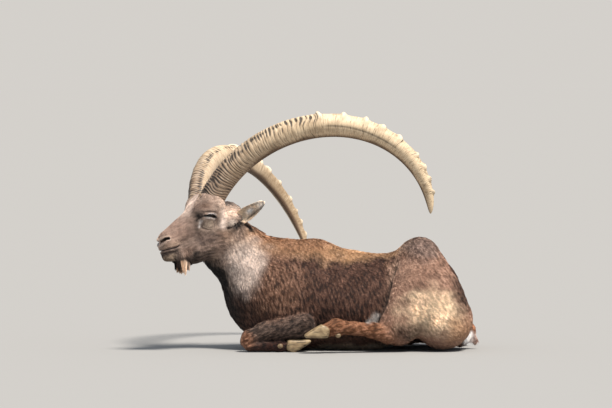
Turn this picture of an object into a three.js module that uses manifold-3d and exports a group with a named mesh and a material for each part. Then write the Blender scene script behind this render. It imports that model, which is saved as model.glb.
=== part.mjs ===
// Alpine ibex, an adult male, lying on its chest with its legs folded and its head turned to its left.
// The animal faces -X with its left side towards -Y. The origin is on the flat of the belly, under the
// middle of the trunk, at the level of the ground. Lengths are in millimetres and angles in degrees.
// The flesh is one smooth field, made of ellipsoids and tapered limbs that melt into each other. It is
// skinned at a grid size that suits each part and parted with thin cuts. Horns, ears, eyes, claws and
// beard are lofts and spheres of their own.

import * as THREE from "three";
import { ConvexGeometry } from "three/addons/geometries/ConvexGeometry.js";
import { mergeVertices } from "three/addons/utils/BufferGeometryUtils.js";
import Module from "manifold-3d";

const wasm = await Module();
wasm.setup();

// Driving sizes of the animal
const GAP = 0.8; // left between neighbouring pieces
const WIDE_GAP = 1.4; // round pieces with sharp rims or hollows
const CUT_MARGIN = 6; // how far outside a limb's own form it is parted from the trunk
const CUT_ROUNDING = 1.06; // so that the faceted cutting shape clears the round limb
const GROUND = 0;
const HORN_LENGTH = 932;
const HORN_FRONT_RADIUS = 39.5; // half of the depth at the base, front to back
const HORN_SIDE_SHARE = 0.8; // width over depth
const HORN_SPACING = 41; // from the middle of the head to a horn's axis
const EYE_RADIUS = 17;
const EYE_AT = [28, 50, -46]; // the left eye, in head coordinates
const EAR_LENGTH = 104;
const EAR_AT = [-70, 42, -84]; // root of the left ear
const CLAW_LENGTH = 72;
const HIND_FOOT_UP = 50; // the left hind foot is held a little above the ground
const CLAW_HEIGHT = 40;
const CLAW_WIDTH = 24;
const CLAW_TAPER = 0.45; // lost from the width at the toe

// The head's own axes are forward, left and up, and its origin lies midway between the horn bases.
const HEAD_AT = new THREE.Vector3(-357, -50, 464.5);
const HEAD_YAW = 34.4; // turned to the animal's left
const HEAD_PITCH = 12.6; // nose down
const HEAD_ROLL = 12; // left side up

// Grid sizes of the skins
const TRUNK_GRID = 56;
const NECK_GRID = 44;
const THIGH_GRID = 46;
const HEAD_GRID = 18.2;

const rad = THREE.MathUtils.degToRad;
const vec = (x, y, z) => new THREE.Vector3(x, y, z);

// Turns head coordinates (forward, left, up) into the animal's.
function headMatrix() {
  const yaw = rad(HEAD_YAW);
  const pitch = rad(HEAD_PITCH);
  const roll = rad(HEAD_ROLL);
  const level = vec(-Math.cos(yaw), -Math.sin(yaw), 0);
  const side = vec(Math.sin(yaw), -Math.cos(yaw), 0);
  const rise = vec(0, 0, 1);
  const forward = level.clone().multiplyScalar(Math.cos(pitch)).addScaledVector(rise, -Math.sin(pitch));
  const above = rise.clone().multiplyScalar(Math.cos(pitch)).addScaledVector(level, Math.sin(pitch));
  const left = side.clone().multiplyScalar(Math.cos(roll)).addScaledVector(above, Math.sin(roll));
  const up = above.clone().multiplyScalar(Math.cos(roll)).addScaledVector(side, -Math.sin(roll));
  return new THREE.Matrix4().makeBasis(forward, left, up).setPosition(HEAD_AT);
}

const HEAD = headMatrix();
const HEAD_INVERSE = HEAD.clone().invert();
const inHead = (f, l, u) => vec(f, l, u).applyMatrix4(HEAD);

// Fields: each is a function of a point, negative inside

function ellipsoid(at, radii, turn = [0, 0, 0]) {
  const spin = new THREE.Matrix4().makeRotationFromEuler(new THREE.Euler(...turn.map(rad)));
  const back = spin.setPosition(...at).invert();
  const [a, b, c] = radii;
  const q = vec(0, 0, 0);
  return (p) => {
    q.copy(p).applyMatrix4(back);
    const near = Math.hypot(q.x / a, q.y / b, q.z / c);
    const slope = Math.hypot(q.x / (a * a), q.y / (b * b), q.z / (c * c));
    return slope < 1e-9 ? -Math.min(a, b, c) : (near * (near - 1)) / slope;
  };
}

// A limb tapers from one round end to the other; flat narrows or widens it sideways, along Y.
function limb(from, to, radiusFrom, radiusTo, flat = 1) {
  const a = vec(...from);
  const axis = vec(...to).sub(a);
  axis.y /= flat;
  const length2 = axis.lengthSq();
  const q = vec(0, 0, 0);
  return (p) => {
    q.set(p.x - a.x, (p.y - a.y) / flat, p.z - a.z);
    const t = THREE.MathUtils.clamp(q.dot(axis) / length2, 0, 1);
    const radius = THREE.MathUtils.lerp(radiusFrom, radiusTo, t);
    return (q.addScaledVector(axis, -t).length() - radius) * Math.min(flat, 1);
  };
}

// Melts fields together over about the given width.
function melt(width, ...fields) {
  return (p) =>
    fields.reduce((sum, field) => {
      const d = field(p);
      const h = Math.max(width - Math.abs(sum - d), 0) / width;
      return Math.min(sum, d) - (h * h * width) / 4;
    }, Infinity);
}

// The same field, for forms given in head coordinates
function onHead(field) {
  const q = vec(0, 0, 0);
  return (p) => field(q.copy(p).applyMatrix4(HEAD_INVERSE));
}

const bothSides = (make) => [make(1), make(-1)];

function headField() {
  const orbits = bothSides((s) => ellipsoid([20, 44 * s, -41], [34, 15, 22]));
  const cheeks = bothSides((s) => ellipsoid([6, 26 * s, -104], [60, 28, 54], [0, 20, 0]));
  const nostrils = bothSides((s) => ellipsoid([178, 14 * s, -84], [17, 13, 18]));
  const cuffs = bothSides((s) => limb([12, 27 * s, -26], [2, 36 * s, -10], 43, 43));
  return onHead(
    melt(
      20,
      ellipsoid([-54, 0, -66], [62, 53, 52]), // braincase
      limb([50, 0, -50], [164, 0, -80], 48, 32, 0.82), // bridge of the nose
      ellipsoid([176, 0, -102], [26, 24, 19]), // upper lip
      limb([188, 0, -129], [90, 0, -136], 18, 37, 0.86), // lower jaw
      limb([90, 0, -136], [16, 0, -128], 37, 50, 0.86), // throat between the jaws
      ...orbits,
      ...cheeks,
      ...nostrils,
      ...cuffs,
    ),
  );
}

function neckField() {
  return melt(
    30,
    limb([-168, 0, 222], [-274, -14, 322], 131, 89, 0.74),
    limb([-274, -14, 322], [-290, -28, 358], 89, 72, 0.8),
  );
}

function trunkField() {
  return melt(
    45,
    ellipsoid([-73, 0, 164], [212, 148, 168]), // ribs
    ellipsoid([122, 4, 142], [226, 166, 150]), // belly
    limb([-83, 0, 278], [-6, 0, 287], 50, 46, 0.9), // withers
    limb([-6, 0, 287], [92, 0, 262], 46, 42, 0.9), // back
    limb([97, 0, 246], [310, -12, 252], 44, 50, 1.2), // loin and croup
    ellipsoid([312, 15, 168], [141, 128, 142]), // pelvis
    ellipsoid([444, -14, 52], [44, 58, 46]), // rump below the tail
    ...bothSides((s) => ellipsoid([-121, 92 * s, 168], [92, 58, 118], [0, -24, 0])), // shoulders
  );
}

// A chain of balls, each given as its centre and radius, with tapers between them
function chain(width, balls) {
  const links = balls.slice(1).map((ball, i) => {
    const last = balls[i];
    return limb(last.slice(0, 3), ball.slice(0, 3), last[3], ball[3]);
  });
  return melt(width, ...links);
}

// The left thigh is rolled up over the right one, so that its hip stands above the back.
const thighs = {
  left: [
    [[319, -62, 294, 62], [358, -92, 168, 94], [391, -98, 98, 94]],
    [[298, -104, 188, 78], [250, -128, 86, 68]],
  ],
  right: [
    [[320, 70, 214, 62], [350, 104, 136, 92], [376, 112, 92, 88]],
    [[294, 112, 142, 80], [226, 146, 74, 68]],
  ],
};

const foreleg = (s, shift) => ({
  forearm: [
    [-50 + shift, 136 * s, 82, 43],
    [-166 + shift, 143 * s, 65, 29],
    [-210 + shift, 147 * s, 44, 27],
    [-218 + shift, 148 * s, 34, 25],
  ],
  cannon: [
    [-213 + shift, 153 * s, 22, 21],
    [-160 + shift, 153 * s, 18, 15],
    [-122 + shift, 150 * s, 19, 18],
    [-90 + shift, 146 * s, 18, 16],
  ],
});

const foreLeft = foreleg(-1, 0);
const foreRight = foreleg(1, 12);

// The cannons, from hock or knee to the pastern
const cannons = {
  fore_cannon_left: foreLeft.cannon,
  fore_cannon_right: foreRight.cannon,
  hind_cannon_left: [
    [218, -158, 58, 34],
    [168, -180, 70, 24],
    [112, -198, 77, 20],
    [56, -210, 81, 26],
    [24, -214, 72, 22],
  ],
  hind_cannon_right: [
    [452, 142, 40, 38],
    [400, 164, 32, 25],
    [346, 184, 26, 19],
    [288, 208, 23, 23],
    [254, 214, 20, 20],
  ],
};

const tailBalls = [
  [440, 0, 132, 18],
  [458, -2, 100, 22],
  [473, -5, 66, 20],
  [489, -8, 34, 15],
];

const forearms = { forearm_left: foreLeft.forearm, forearm_right: foreRight.forearm };
const thighLeft = melt(40, ...thighs.left.map((balls) => chain(20, balls)));
const thighRight = melt(40, ...thighs.right.map((balls) => chain(20, balls)));

const head = headField();
const neck = neckField();
const trunk = trunkField();

// The whole of the flesh but for the lower legs
function bodyField() {
  const core = melt(20, melt(46, trunk, neck), head);
  return melt(16, core, thighLeft, thighRight);
}

const body = bodyField();

// Skins a field inside a box. Each grid cell that the surface crosses gets one vertex for each group of
// its corners that lie inside and touch each other; the vertex is then moved onto the surface.
function skin(field, low, high, grid) {
  const [nx, ny, nz] = [0, 1, 2].map((i) => Math.ceil((high[i] - low[i]) / grid) + 1);
  const index = (i, j, k) => i + nx * (j + ny * k);
  const values = new Float64Array(nx * ny * nz);
  const p = vec(0, 0, 0);
  for (let k = 0; k < nz; k++)
    for (let j = 0; j < ny; j++)
      for (let i = 0; i < nx; i++) {
        p.set(low[0] + i * grid, low[1] + j * grid, low[2] + k * grid);
        const border = !i || !j || !k || i === nx - 1 || j === ny - 1 || k === nz - 1;
        values[index(i, j, k)] = border ? Math.max(field(p), 1) : field(p);
      }
  const steps = [[1, 0, 0], [0, 1, 0], [0, 0, 1]];
  const cellSteps = [1, 2, 4];
  const places = [];
  const cells = new Map();

  const cellAt = (i, j, k) => {
    const key = index(i, j, k);
    if (cells.has(key)) return cells.get(key);
    const corners = Array.from({ length: 8 }, (_, c) => [i + (c & 1), j + ((c >> 1) & 1), k + (c >> 2)]);
    const levels = corners.map((corner) => values[index(...corner)]);
    const group = levels.map((level, c) => (level < 0 ? c : -1));
    for (let round = 0; round < 3; round++)
      for (let c = 0; c < 8; c++)
        for (const bit of cellSteps)
          if (group[c] >= 0 && group[c ^ bit] >= 0)
            group[c] = group[c ^ bit] = Math.min(group[c], group[c ^ bit]);
    const vertexOf = {};
    for (const label of new Set(group.filter((g) => g >= 0))) {
      const crossings = [];
      for (let c = 0; c < 8; c++)
        for (const bit of cellSteps) {
          if (group[c] !== label || levels[c ^ bit] < 0) continue;
          const share = levels[c] / (levels[c] - levels[c ^ bit]);
          crossings.push(vec(...corners[c]).lerp(vec(...corners[c ^ bit]), share));
        }
      if (!crossings.length) continue;
      const mean = crossings.reduce((sum, v) => sum.add(v), vec(0, 0, 0)).divideScalar(crossings.length);
      vertexOf[label] = places.length;
      places.push(ontoSurface(field, mean.multiplyScalar(grid).add(vec(...low)), grid));
    }
    const cell = { group, vertexOf };
    cells.set(key, cell);
    return cell;
  };

  const triangles = [];
  for (let k = 0; k < nz - 1; k++)
    for (let j = 0; j < ny - 1; j++)
      for (let i = 0; i < nx - 1; i++)
        for (const [axis, step] of steps.entries()) {
          const a = values[index(i, j, k)];
          const b = values[index(i + step[0], j + step[1], k + step[2])];
          if (a < 0 === b < 0) continue;
          const inside = [i, j, k].map((v, n) => v + (a < 0 ? 0 : step[n]));
          const around = [[0, 0], [1, 0], [1, 1], [0, 1]].map(([u, v]) => {
            const at = [i, j, k];
            at[(axis + 1) % 3] -= u;
            at[(axis + 2) % 3] -= v;
            const cell = cellAt(...at);
            const corner = inside[0] - at[0] + 2 * (inside[1] - at[1]) + 4 * (inside[2] - at[2]);
            return cell.vertexOf[cell.group[corner]];
          });
          if (a >= 0) around.reverse();
          triangles.push(around[0], around[1], around[2], around[0], around[2], around[3]);
        }
  return solidOf(places, triangles);
}

function ontoSurface(field, place, grid) {
  const step = 0.5;
  const start = place.clone();
  for (let round = 0; round < 3; round++) {
    const value = field(place);
    const slope = vec(
      field(place.clone().add(vec(step, 0, 0))) - value,
      field(place.clone().add(vec(0, step, 0))) - value,
      field(place.clone().add(vec(0, 0, step))) - value,
    ).divideScalar(step);
    place.addScaledVector(slope, -value / Math.max(slope.lengthSq(), 0.2));
  }
  return place.distanceTo(start) < grid * 0.6 ? place : start;
}

function solidOf(places, triangles) {
  const vertProperties = new Float32Array(places.flatMap((v) => [v.x, v.y, v.z]));
  const mesh = new wasm.Mesh({ numProp: 3, vertProperties, triVerts: new Uint32Array(triangles) });
  return new wasm.Manifold(mesh);
}

function solidFromGeometry(geometry) {
  const bare = geometry.clone();
  bare.deleteAttribute("normal");
  bare.deleteAttribute("uv");
  const merged = mergeVertices(bare, 1e-3);
  const position = merged.getAttribute("position");
  const places = Array.from({ length: position.count }, (_, i) =>
    new THREE.Vector3().fromBufferAttribute(position, i),
  );
  return solidOf(places, Array.from(merged.index.array));
}

function geometryOf(solid) {
  const mesh = solid.getMesh();
  const position = new Float32Array(mesh.numVert * 3);
  for (let i = 0; i < mesh.numVert; i++)
    position.set(mesh.vertProperties.subarray(i * mesh.numProp, i * mesh.numProp + 3), i * 3);
  return new THREE.BufferGeometry()
    .setAttribute("position", new THREE.BufferAttribute(position, 3))
    .setIndex(new THREE.BufferAttribute(mesh.triVerts, 1));
}

// The same solid with its skin moved outwards, to cut a neighbour with a gap
function grown(solid, by = GAP) {
  const geometry = geometryOf(solid);
  geometry.computeVertexNormals();
  const position = geometry.getAttribute("position");
  const normal = geometry.getAttribute("normal");
  const places = Array.from({ length: position.count }, (_, i) =>
    new THREE.Vector3()
      .fromBufferAttribute(position, i)
      .addScaledVector(new THREE.Vector3().fromBufferAttribute(normal, i), by),
  );
  return solidOf(places, Array.from(geometry.index.array));
}

// The main body of a cut solid, with the slivers along its edges tidied away
const TIDY = 0.3;
const biggest = (solid) => solid.decompose().sort((a, b) => b.volume() - a.volume())[0];
const largest = (solid) => biggest(biggest(solid).simplify(TIDY));

// Rings of equal point counts, joined in order and closed at both ends
function loft(rings) {
  const sides = rings[0].length;
  const places = rings.flat();
  const triangles = [];
  for (let r = 0; r + 1 < rings.length; r++)
    for (let s = 0; s < sides; s++) {
      const a = r * sides + s;
      const b = r * sides + ((s + 1) % sides);
      triangles.push(a, b, b + sides, a, b + sides, a + sides);
    }
  const last = (rings.length - 1) * sides;
  for (let s = 1; s + 1 < sides; s++) {
    triangles.push(0, s + 1, s);
    triangles.push(last, last + s, last + s + 1);
  }
  const solid = solidOf(places, triangles);
  return solid.volume() > 0 ? solid : solidOf(places, triangles.reverse());
}

// A round tube through a chain of balls, closed with blunt ends
function tube(balls, sides, steps) {
  const curve = new THREE.CatmullRomCurve3(balls.map(([x, y, z]) => vec(x, y, z)));
  const radii = balls.map((ball) => ball[3]);
  const radiusAt = (t) => {
    const place = t * (radii.length - 1);
    const i = Math.min(Math.floor(place), radii.length - 2);
    return THREE.MathUtils.lerp(radii[i], radii[i + 1], place - i);
  };
  const ring = (t, along, share) => {
    const tangent = curve.getTangent(t);
    const across = tangent.clone().cross(vec(0, 0, 1)).normalize();
    const over = across.clone().cross(tangent);
    const centre = curve.getPoint(t).addScaledVector(tangent, along * radiusAt(t));
    return Array.from({ length: sides }, (_, i) => {
      const angle = ((i + 0.5) / sides) * 2 * Math.PI;
      return centre
        .clone()
        .addScaledVector(across, share * radiusAt(t) * Math.cos(angle))
        .addScaledVector(over, share * radiusAt(t) * Math.sin(angle));
    });
  };
  const rings = [ring(0, -0.8, 0.55), ring(0, -0.45, 0.88)];
  for (let i = 0; i <= steps; i++) rings.push(ring(i / steps, 0, 1));
  rings.push(ring(1, 0.45, 0.88), ring(1, 0.8, 0.55));
  return loft(rings);
}

// Horns: a curve that bends more and more, lying back and outwards

const HORN_LEAN = 7.4; // outwards from the head's up axis
const HORN_SPLAY = 33.3; // outwards from straight back
const HORN_START = 41.2; // of the tangent at the base, back from up
const HORN_BEND = [2.589, -2.549, 4.094]; // curvature times length: constant, linear and square terms
const HORN_ROOT = 24; // buried in the head
const HORN_SIDES = 8;
const RIDGE_STEP = 62; // between the low rings of the lower horn
const KNOB_STEP = 57; // between the knobs of the upper horn
const KNOBS_FROM = 0.46; // share of the length
const KNOBS_TO = 0.93;

function hornCurve(side) {
  const steps = 200;
  const lean = rad(HORN_LEAN);
  const splay = rad(HORN_SPLAY);
  const up = vec(0, Math.sin(lean) * side, Math.cos(lean));
  const back = vec(-Math.cos(splay), Math.sin(splay) * side, 0);
  const point = vec(0, HORN_SPACING * side, 0);
  const samples = [];
  let angle = rad(HORN_START);
  for (let i = 0; i <= steps; i++) {
    const s = i / steps;
    const tangent = up.clone().multiplyScalar(Math.cos(angle)).addScaledVector(back, Math.sin(angle));
    tangent.normalize();
    const front = up.clone().multiplyScalar(Math.sin(angle)).addScaledVector(back, -Math.cos(angle));
    front.addScaledVector(tangent, -front.dot(tangent)).normalize();
    samples.push({ point: point.clone(), tangent, front });
    point.addScaledVector(tangent, HORN_LENGTH / steps);
    angle += (HORN_BEND[0] + HORN_BEND[1] * s + HORN_BEND[2] * s * s) / steps;
  }
  return (s) => samples[Math.round(THREE.MathUtils.clamp(s, 0, 1) * steps)];
}

// Places along a horn where a ring of points is laid, with the height of the front ridge there
function hornStations() {
  const stations = [{ s: -HORN_ROOT / HORN_LENGTH, ridge: 0 }];
  for (let mm = 6; mm < KNOBS_FROM * HORN_LENGTH; mm += RIDGE_STEP) {
    stations.push({ s: mm / HORN_LENGTH, ridge: 0 }, { s: (mm + RIDGE_STEP / 2) / HORN_LENGTH, ridge: 2.5 });
  }
  for (let mm = KNOBS_FROM * HORN_LENGTH; mm < KNOBS_TO * HORN_LENGTH; mm += KNOB_STEP) {
    const s = mm / HORN_LENGTH;
    const height = 9 * (1.25 - s);
    stations.push({ s: s + 0.018, ridge: 0 }, { s: s + 0.04, ridge: height }, { s: s + 0.054, ridge: 0 });
  }
  stations.push({ s: 0.975, ridge: 0 }, { s: 0.992, ridge: 0 }, { s: 1, ridge: 0 });
  return stations;
}

const hornRadius = (s) => HORN_FRONT_RADIUS * Math.sqrt(Math.max(1 - Math.max(s, 0) ** 2.6, 0.004));

function horn(side) {
  const curve = hornCurve(side);
  const rings = hornStations().map(({ s, ridge }) => {
    const { point, tangent, front } = curve(s);
    const centre = point.clone().addScaledVector(tangent, Math.min(s, 0) * HORN_LENGTH);
    const across = tangent.clone().cross(front);
    const radius = hornRadius(s);
    return Array.from({ length: HORN_SIDES }, (_, i) => {
      const angle = (i / HORN_SIDES) * 2 * Math.PI;
      const forward = Math.cos(angle);
      const narrow = 0.9 + 0.16 * forward; // the back edge is narrower than the front
      const depth = radius * forward + ridge * Math.max(forward, 0);
      return centre
        .clone()
        .addScaledVector(front, depth)
        .addScaledVector(across, radius * HORN_SIDE_SHARE * narrow * Math.sin(angle))
        .applyMatrix4(HEAD);
    });
  });
  return loft(rings);
}

function eye(side) {
  const ball = new THREE.SphereGeometry(EYE_RADIUS, 8, 6).toNonIndexed();
  const place = inHead(EYE_AT[0], EYE_AT[1] * side, EYE_AT[2]);
  return solidFromGeometry(ball.translate(place.x, place.y, place.z));
}

// Ears: cupped leaves that lie back and out from the head
function ear(side) {
  const root = vec(EAR_AT[0], EAR_AT[1] * side, EAR_AT[2]);
  const along = vec(-0.62, 0.72 * side, 0.27).normalize();
  const open = vec(0.55, 0.8 * side, -0.2);
  open.addScaledVector(along, -open.dot(along)).normalize();
  const across = along.clone().cross(open);
  const rings = [0, 0.2, 0.45, 0.7, 0.9, 1].map((t) => {
    const half = 3 + 21 * Math.sqrt(Math.sin(Math.PI * (0.14 + 0.86 * t) ** 0.8) + 0.001) * (1 - 0.18 * t);
    const cup = 13 * (1 - t) * Math.min(t * 5, 1);
    const wall = 8 - 4 * t;
    const centre = root.clone().addScaledVector(along, t * EAR_LENGTH);
    const bow = (v) => cup * (1 - v * v);
    const at = (v, lift) =>
      centre
        .clone()
        .addScaledVector(across, v * half)
        .addScaledVector(open, lift - bow(v))
        .applyMatrix4(HEAD);
    const spread = [-1, -0.4, 0.4, 1];
    const rim = 2.4 - 1.6 * t;
    const inner = spread.map((v) => at(v, Math.abs(v) === 1 ? rim : wall / 2));
    const outer = spread.map((v) => at(v, Math.abs(v) === 1 ? -rim : -wall / 2)).reverse();
    return [...inner, ...outer];
  });
  return loft(rings);
}

// The short beard hangs straight down from the chin.
function beard() {
  const root = vec(-424, -125, 294);
  const drop = vec(-3, 2, -50);
  const chinLine = vec(0.82, 0.57, 0).normalize();
  const across = vec(-0.57, 0.82, 0);
  const rings = [[0, 30, 14], [0.35, 30, 14], [0.7, 25, 11], [0.9, 17, 8], [1, 7, 4]].map(([t, long, wide]) =>
    Array.from({ length: 10 }, (_, i) => {
      const angle = (i / 10) * 2 * Math.PI;
      return root
        .clone()
        .addScaledVector(drop, t)
        .addScaledVector(chinLine, long * Math.cos(angle))
        .addScaledVector(across, wide * Math.sin(angle));
    }),
  );
  return loft(rings);
}

// A claw, drawn from its heel at the origin towards +X, with its sole at the ground
function claw() {
  const profile = new THREE.Shape();
  profile.moveTo(-4, 0);
  profile.lineTo(CLAW_LENGTH - 6, 0);
  profile.quadraticCurveTo(CLAW_LENGTH, 1, CLAW_LENGTH - 4, 8);
  profile.quadraticCurveTo(CLAW_LENGTH * 0.55, 26, 14, CLAW_HEIGHT);
  profile.lineTo(-8, CLAW_HEIGHT * 0.72);
  profile.closePath();
  const options = { depth: CLAW_WIDTH - 8, bevelThickness: 4, bevelSize: 3, bevelOffset: -3 };
  const geometry = new THREE.ExtrudeGeometry(profile, { ...options, bevelSegments: 1, curveSegments: 3 });
  geometry.rotateX(Math.PI / 2).translate(0, CLAW_WIDTH / 2 - 4, 0);
  const position = geometry.getAttribute("position");
  for (let i = 0; i < position.count; i++) {
    const reach = Math.max(position.getX(i), 0) / CLAW_LENGTH;
    position.setY(i, position.getY(i) * (1 - CLAW_TAPER * reach * reach));
  }
  return geometry;
}

// Two claws beside each other at the end of a foot. heading is the way the toes point, seen from above;
// tucked claws lie on their front, soles up.
function clawPair(at, heading, tucked = false) {
  return [-1, 1].map((side) => {
    const geometry = claw();
    if (tucked) geometry.rotateX(Math.PI).translate(0, 0, CLAW_HEIGHT - 2);
    geometry
      .rotateZ(rad(4 * side))
      .translate(0, (CLAW_WIDTH / 2 + 1.2) * side, 0)
      .rotateZ(rad(heading))
      .translate(...at);
    return solidFromGeometry(geometry);
  });
}

function dewclaw(at, radius = 8) {
  return solidFromGeometry(
    new THREE.SphereGeometry(radius, 5, 4).toNonIndexed().scale(1.25, 0.9, 1).translate(...at),
  );
}

// Builds and colours

const finishes = {
  coat: { color: "#7a5c4a", roughness: 0.9 },
  rump: { color: "#a9866a", roughness: 0.9 },
  horn: { color: "#b79d7c", roughness: 0.6 },
  claw: { color: "#9c8263", roughness: 0.5 },
  eye: { color: "#3b2a1a", roughness: 0.15 },
  beard: { color: "#6a4a35", roughness: 0.9 },
};

const group = new THREE.Group();

function addNode(name, solid, finish) {
  const material = new THREE.MeshStandardMaterial({ ...finishes[finish], metalness: 0 });
  const mesh = new THREE.Mesh(geometryOf(solid), material);
  mesh.name = name;
  group.add(mesh);
}

const aboveGround = (solid) => solid.trimByPlane([0, 0, 1], GROUND);

// The pieces that stand out of the flesh come first, and the flesh is cut round them.
const feet = {
  fore_left: clawPair([-92, -142, 0], 4, true),
  fore_right: clawPair([-80, 139, 0], -4, true),
  hind_left: clawPair([26, -216, HIND_FOOT_UP], 184),
  hind_right: clawPair([244, 215, 0], 176),
};
// Places of the dewclaws, with how far each stands to the side of its foot's middle
const dewclaws = {
  fore_left: [-118, -147, 20, 20],
  fore_right: [-106, 147, 20, 20],
  hind_left: [62, -211, HIND_FOOT_UP + 7, 14],
  hind_right: [290, 208, 8, 14],
};
const toes = {};
for (const [foot, claws] of Object.entries(feet)) {
  const [x, y, z, aside] = dewclaws[foot];
  ["left", "right"].forEach((side, i) => {
    toes[`claw_${foot}_${side}`] = claws[i];
    toes[`dewclaw_${foot}_${side}`] = dewclaw([x, y + (i ? aside : -aside), z]);
  });
}
const cutterOf = (solids, by) => wasm.Manifold.union(solids.map((solid) => grown(solid, by)));
const toeCutter = cutterOf(Object.values(toes));

const hard = {
  ear_left: [ear(1), "coat"],
  ear_right: [ear(-1), "coat"],
  beard: [beard(), "beard"],
  tail: [tube(tailBalls, 8, 5), "coat"],
  horn_left: [horn(1), "horn"],
  horn_right: [horn(-1), "horn"],
  eye_left: [eye(1), "eye"],
  eye_right: [eye(-1), "eye"],
};
for (const [name, solid] of Object.entries(toes)) hard[name] = [solid, "claw"];
for (const [name, balls] of Object.entries(forearms))
  hard[name] = [largest(tube(balls, 10, 5).subtract(toeCutter)), "coat"];
const kneeCutter = cutterOf(Object.keys(forearms).map((name) => hard[name][0]), WIDE_GAP);
for (const [name, balls] of Object.entries(cannons))
  hard[name] = [largest(tube(balls, 8, 5).subtract(toeCutter).subtract(kneeCutter)), "coat"];
for (const name of Object.keys(hard)) hard[name][0] = aboveGround(hard[name][0]);
const gapRound = (name) => (/ear|cannon|forearm/.test(name) ? WIDE_GAP : GAP);
const hardCutter = wasm.Manifold.union(
  Object.entries(hard).map(([name, [solid]]) => grown(solid, gapRound(name))),
);

// The blunt form round a thigh's balls along which it is parted from its neighbours
function cuttingShape(chains) {
  const corners = new THREE.IcosahedronGeometry(1, 1).getAttribute("position");
  const points = chains.flat().flatMap(([x, y, z, radius]) =>
    Array.from({ length: corners.count }, (_, i) =>
      new THREE.Vector3()
        .fromBufferAttribute(corners, i)
        .multiplyScalar((radius + CUT_MARGIN) * CUT_ROUNDING)
        .add(vec(x, y, z)),
    ),
  );
  return solidFromGeometry(new ConvexGeometry(points));
}

let thighCutter = cutterOf([]);
for (const [side, chains] of Object.entries(thighs)) {
  const shape = cuttingShape(chains);
  const { min, max } = shape.boundingBox();
  const low = min.map((v) => v - THIGH_GRID);
  const high = max.map((v) => v + THIGH_GRID);
  const cut = skin(body, low, high, THIGH_GRID).intersect(shape).subtract(thighCutter);
  addNode(`thigh_${side}`, largest(aboveGround(cut.subtract(hardCutter))), "rump");
  thighCutter = thighCutter.add(grown(shape));
}

// Cuts across the neck: behind the jaw and in front of the shoulders
const headCut = { normal: vec(-0.86, -0.3, 0.32).normalize(), at: inHead(-62, 0, -118) };
const neckCut = { normal: vec(-0.72, 0, 0.69).normalize(), at: vec(-158, 0, 226) };
const trimmed = (solid, { normal, at }, sign) => {
  const way = normal.clone().multiplyScalar(sign);
  return solid.trimByPlane(way.toArray(), way.dot(at) + GAP / 2);
};

const wholeBox = [[-560, -300, -70], [580, 300, 560]];
const headBox = [[-560, -260, 200], [-160, 130, 540]];
const neckBox = [[-420, -190, -20], [0, 190, 480]];

const headSkin = skin(body, ...headBox, HEAD_GRID);
const headWhole = trimmed(headSkin, headCut, 1);
const headSolid = largest(headWhole.subtract(hardCutter));
addNode("head", headSolid, "coat");

const neckSkin = skin(body, ...neckBox, NECK_GRID);
const neckTop = trimmed(neckSkin, headCut, -1);
const neckSolid = largest(trimmed(neckTop, neckCut, 1).subtract(thighCutter).subtract(hardCutter));
addNode("neck", neckSolid, "coat");

const trunkSkin = skin(body, ...wholeBox, TRUNK_GRID);
const trunkCut = trimmed(trunkSkin, neckCut, -1);
const trunkSolid = largest(aboveGround(trunkCut.subtract(thighCutter).subtract(hardCutter)));
addNode("trunk", trunkSolid, "coat");
for (const [name, [solid, finish]] of Object.entries(hard)) addNode(name, solid, finish);

export default group;
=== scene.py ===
import math

import bmesh
import bpy
import numpy as np
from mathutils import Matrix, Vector


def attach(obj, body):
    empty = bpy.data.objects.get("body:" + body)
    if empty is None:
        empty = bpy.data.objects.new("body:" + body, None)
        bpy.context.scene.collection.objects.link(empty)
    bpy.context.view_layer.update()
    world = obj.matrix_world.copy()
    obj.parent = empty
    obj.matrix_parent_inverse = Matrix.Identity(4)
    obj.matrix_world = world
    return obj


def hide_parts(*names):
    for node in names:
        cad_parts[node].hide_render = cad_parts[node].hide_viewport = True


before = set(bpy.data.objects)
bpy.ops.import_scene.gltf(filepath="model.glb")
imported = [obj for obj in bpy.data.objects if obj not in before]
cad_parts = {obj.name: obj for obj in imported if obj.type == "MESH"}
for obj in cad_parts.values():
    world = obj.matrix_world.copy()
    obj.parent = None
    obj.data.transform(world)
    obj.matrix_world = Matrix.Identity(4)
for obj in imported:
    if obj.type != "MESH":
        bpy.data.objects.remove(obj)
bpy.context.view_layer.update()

MM = 0.001  # forms below are in millimetres, the scene is in metres
FLOOR_GAP = 1.0  # the skin stays this far above the floor

# The head's own axes are forward, left and up, and its origin lies midway between the horn bases.
HEAD_AT = np.array([-357.0, -50.0, 464.5])
HEAD_YAW = 34.4  # degrees, turned to the left
HEAD_PITCH = 12.6  # nose down
HEAD_ROLL = 12.0  # left side up


def head_axes():
    """Forward, left and up of the head, as rows in the animal's axes."""
    yaw, pitch, roll = (math.radians(a) for a in (HEAD_YAW, HEAD_PITCH, HEAD_ROLL))
    level = np.array([-math.cos(yaw), -math.sin(yaw), 0.0])
    side = np.array([math.sin(yaw), -math.cos(yaw), 0.0])
    rise = np.array([0.0, 0.0, 1.0])
    forward = level * math.cos(pitch) - rise * math.sin(pitch)
    above = rise * math.cos(pitch) + level * math.sin(pitch)
    left = side * math.cos(roll) + above * math.sin(roll)
    up = above * math.cos(roll) - side * math.sin(roll)
    return np.array([forward, left, up])


HEAD = head_axes()
FORWARD, UP = HEAD[0], HEAD[2]


def to_head(p):
    return (p - HEAD_AT) @ HEAD.T


def from_head(q):
    return np.asarray(q, float) @ HEAD + HEAD_AT


# Fields: each is a function of an array of points, negative inside


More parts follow.
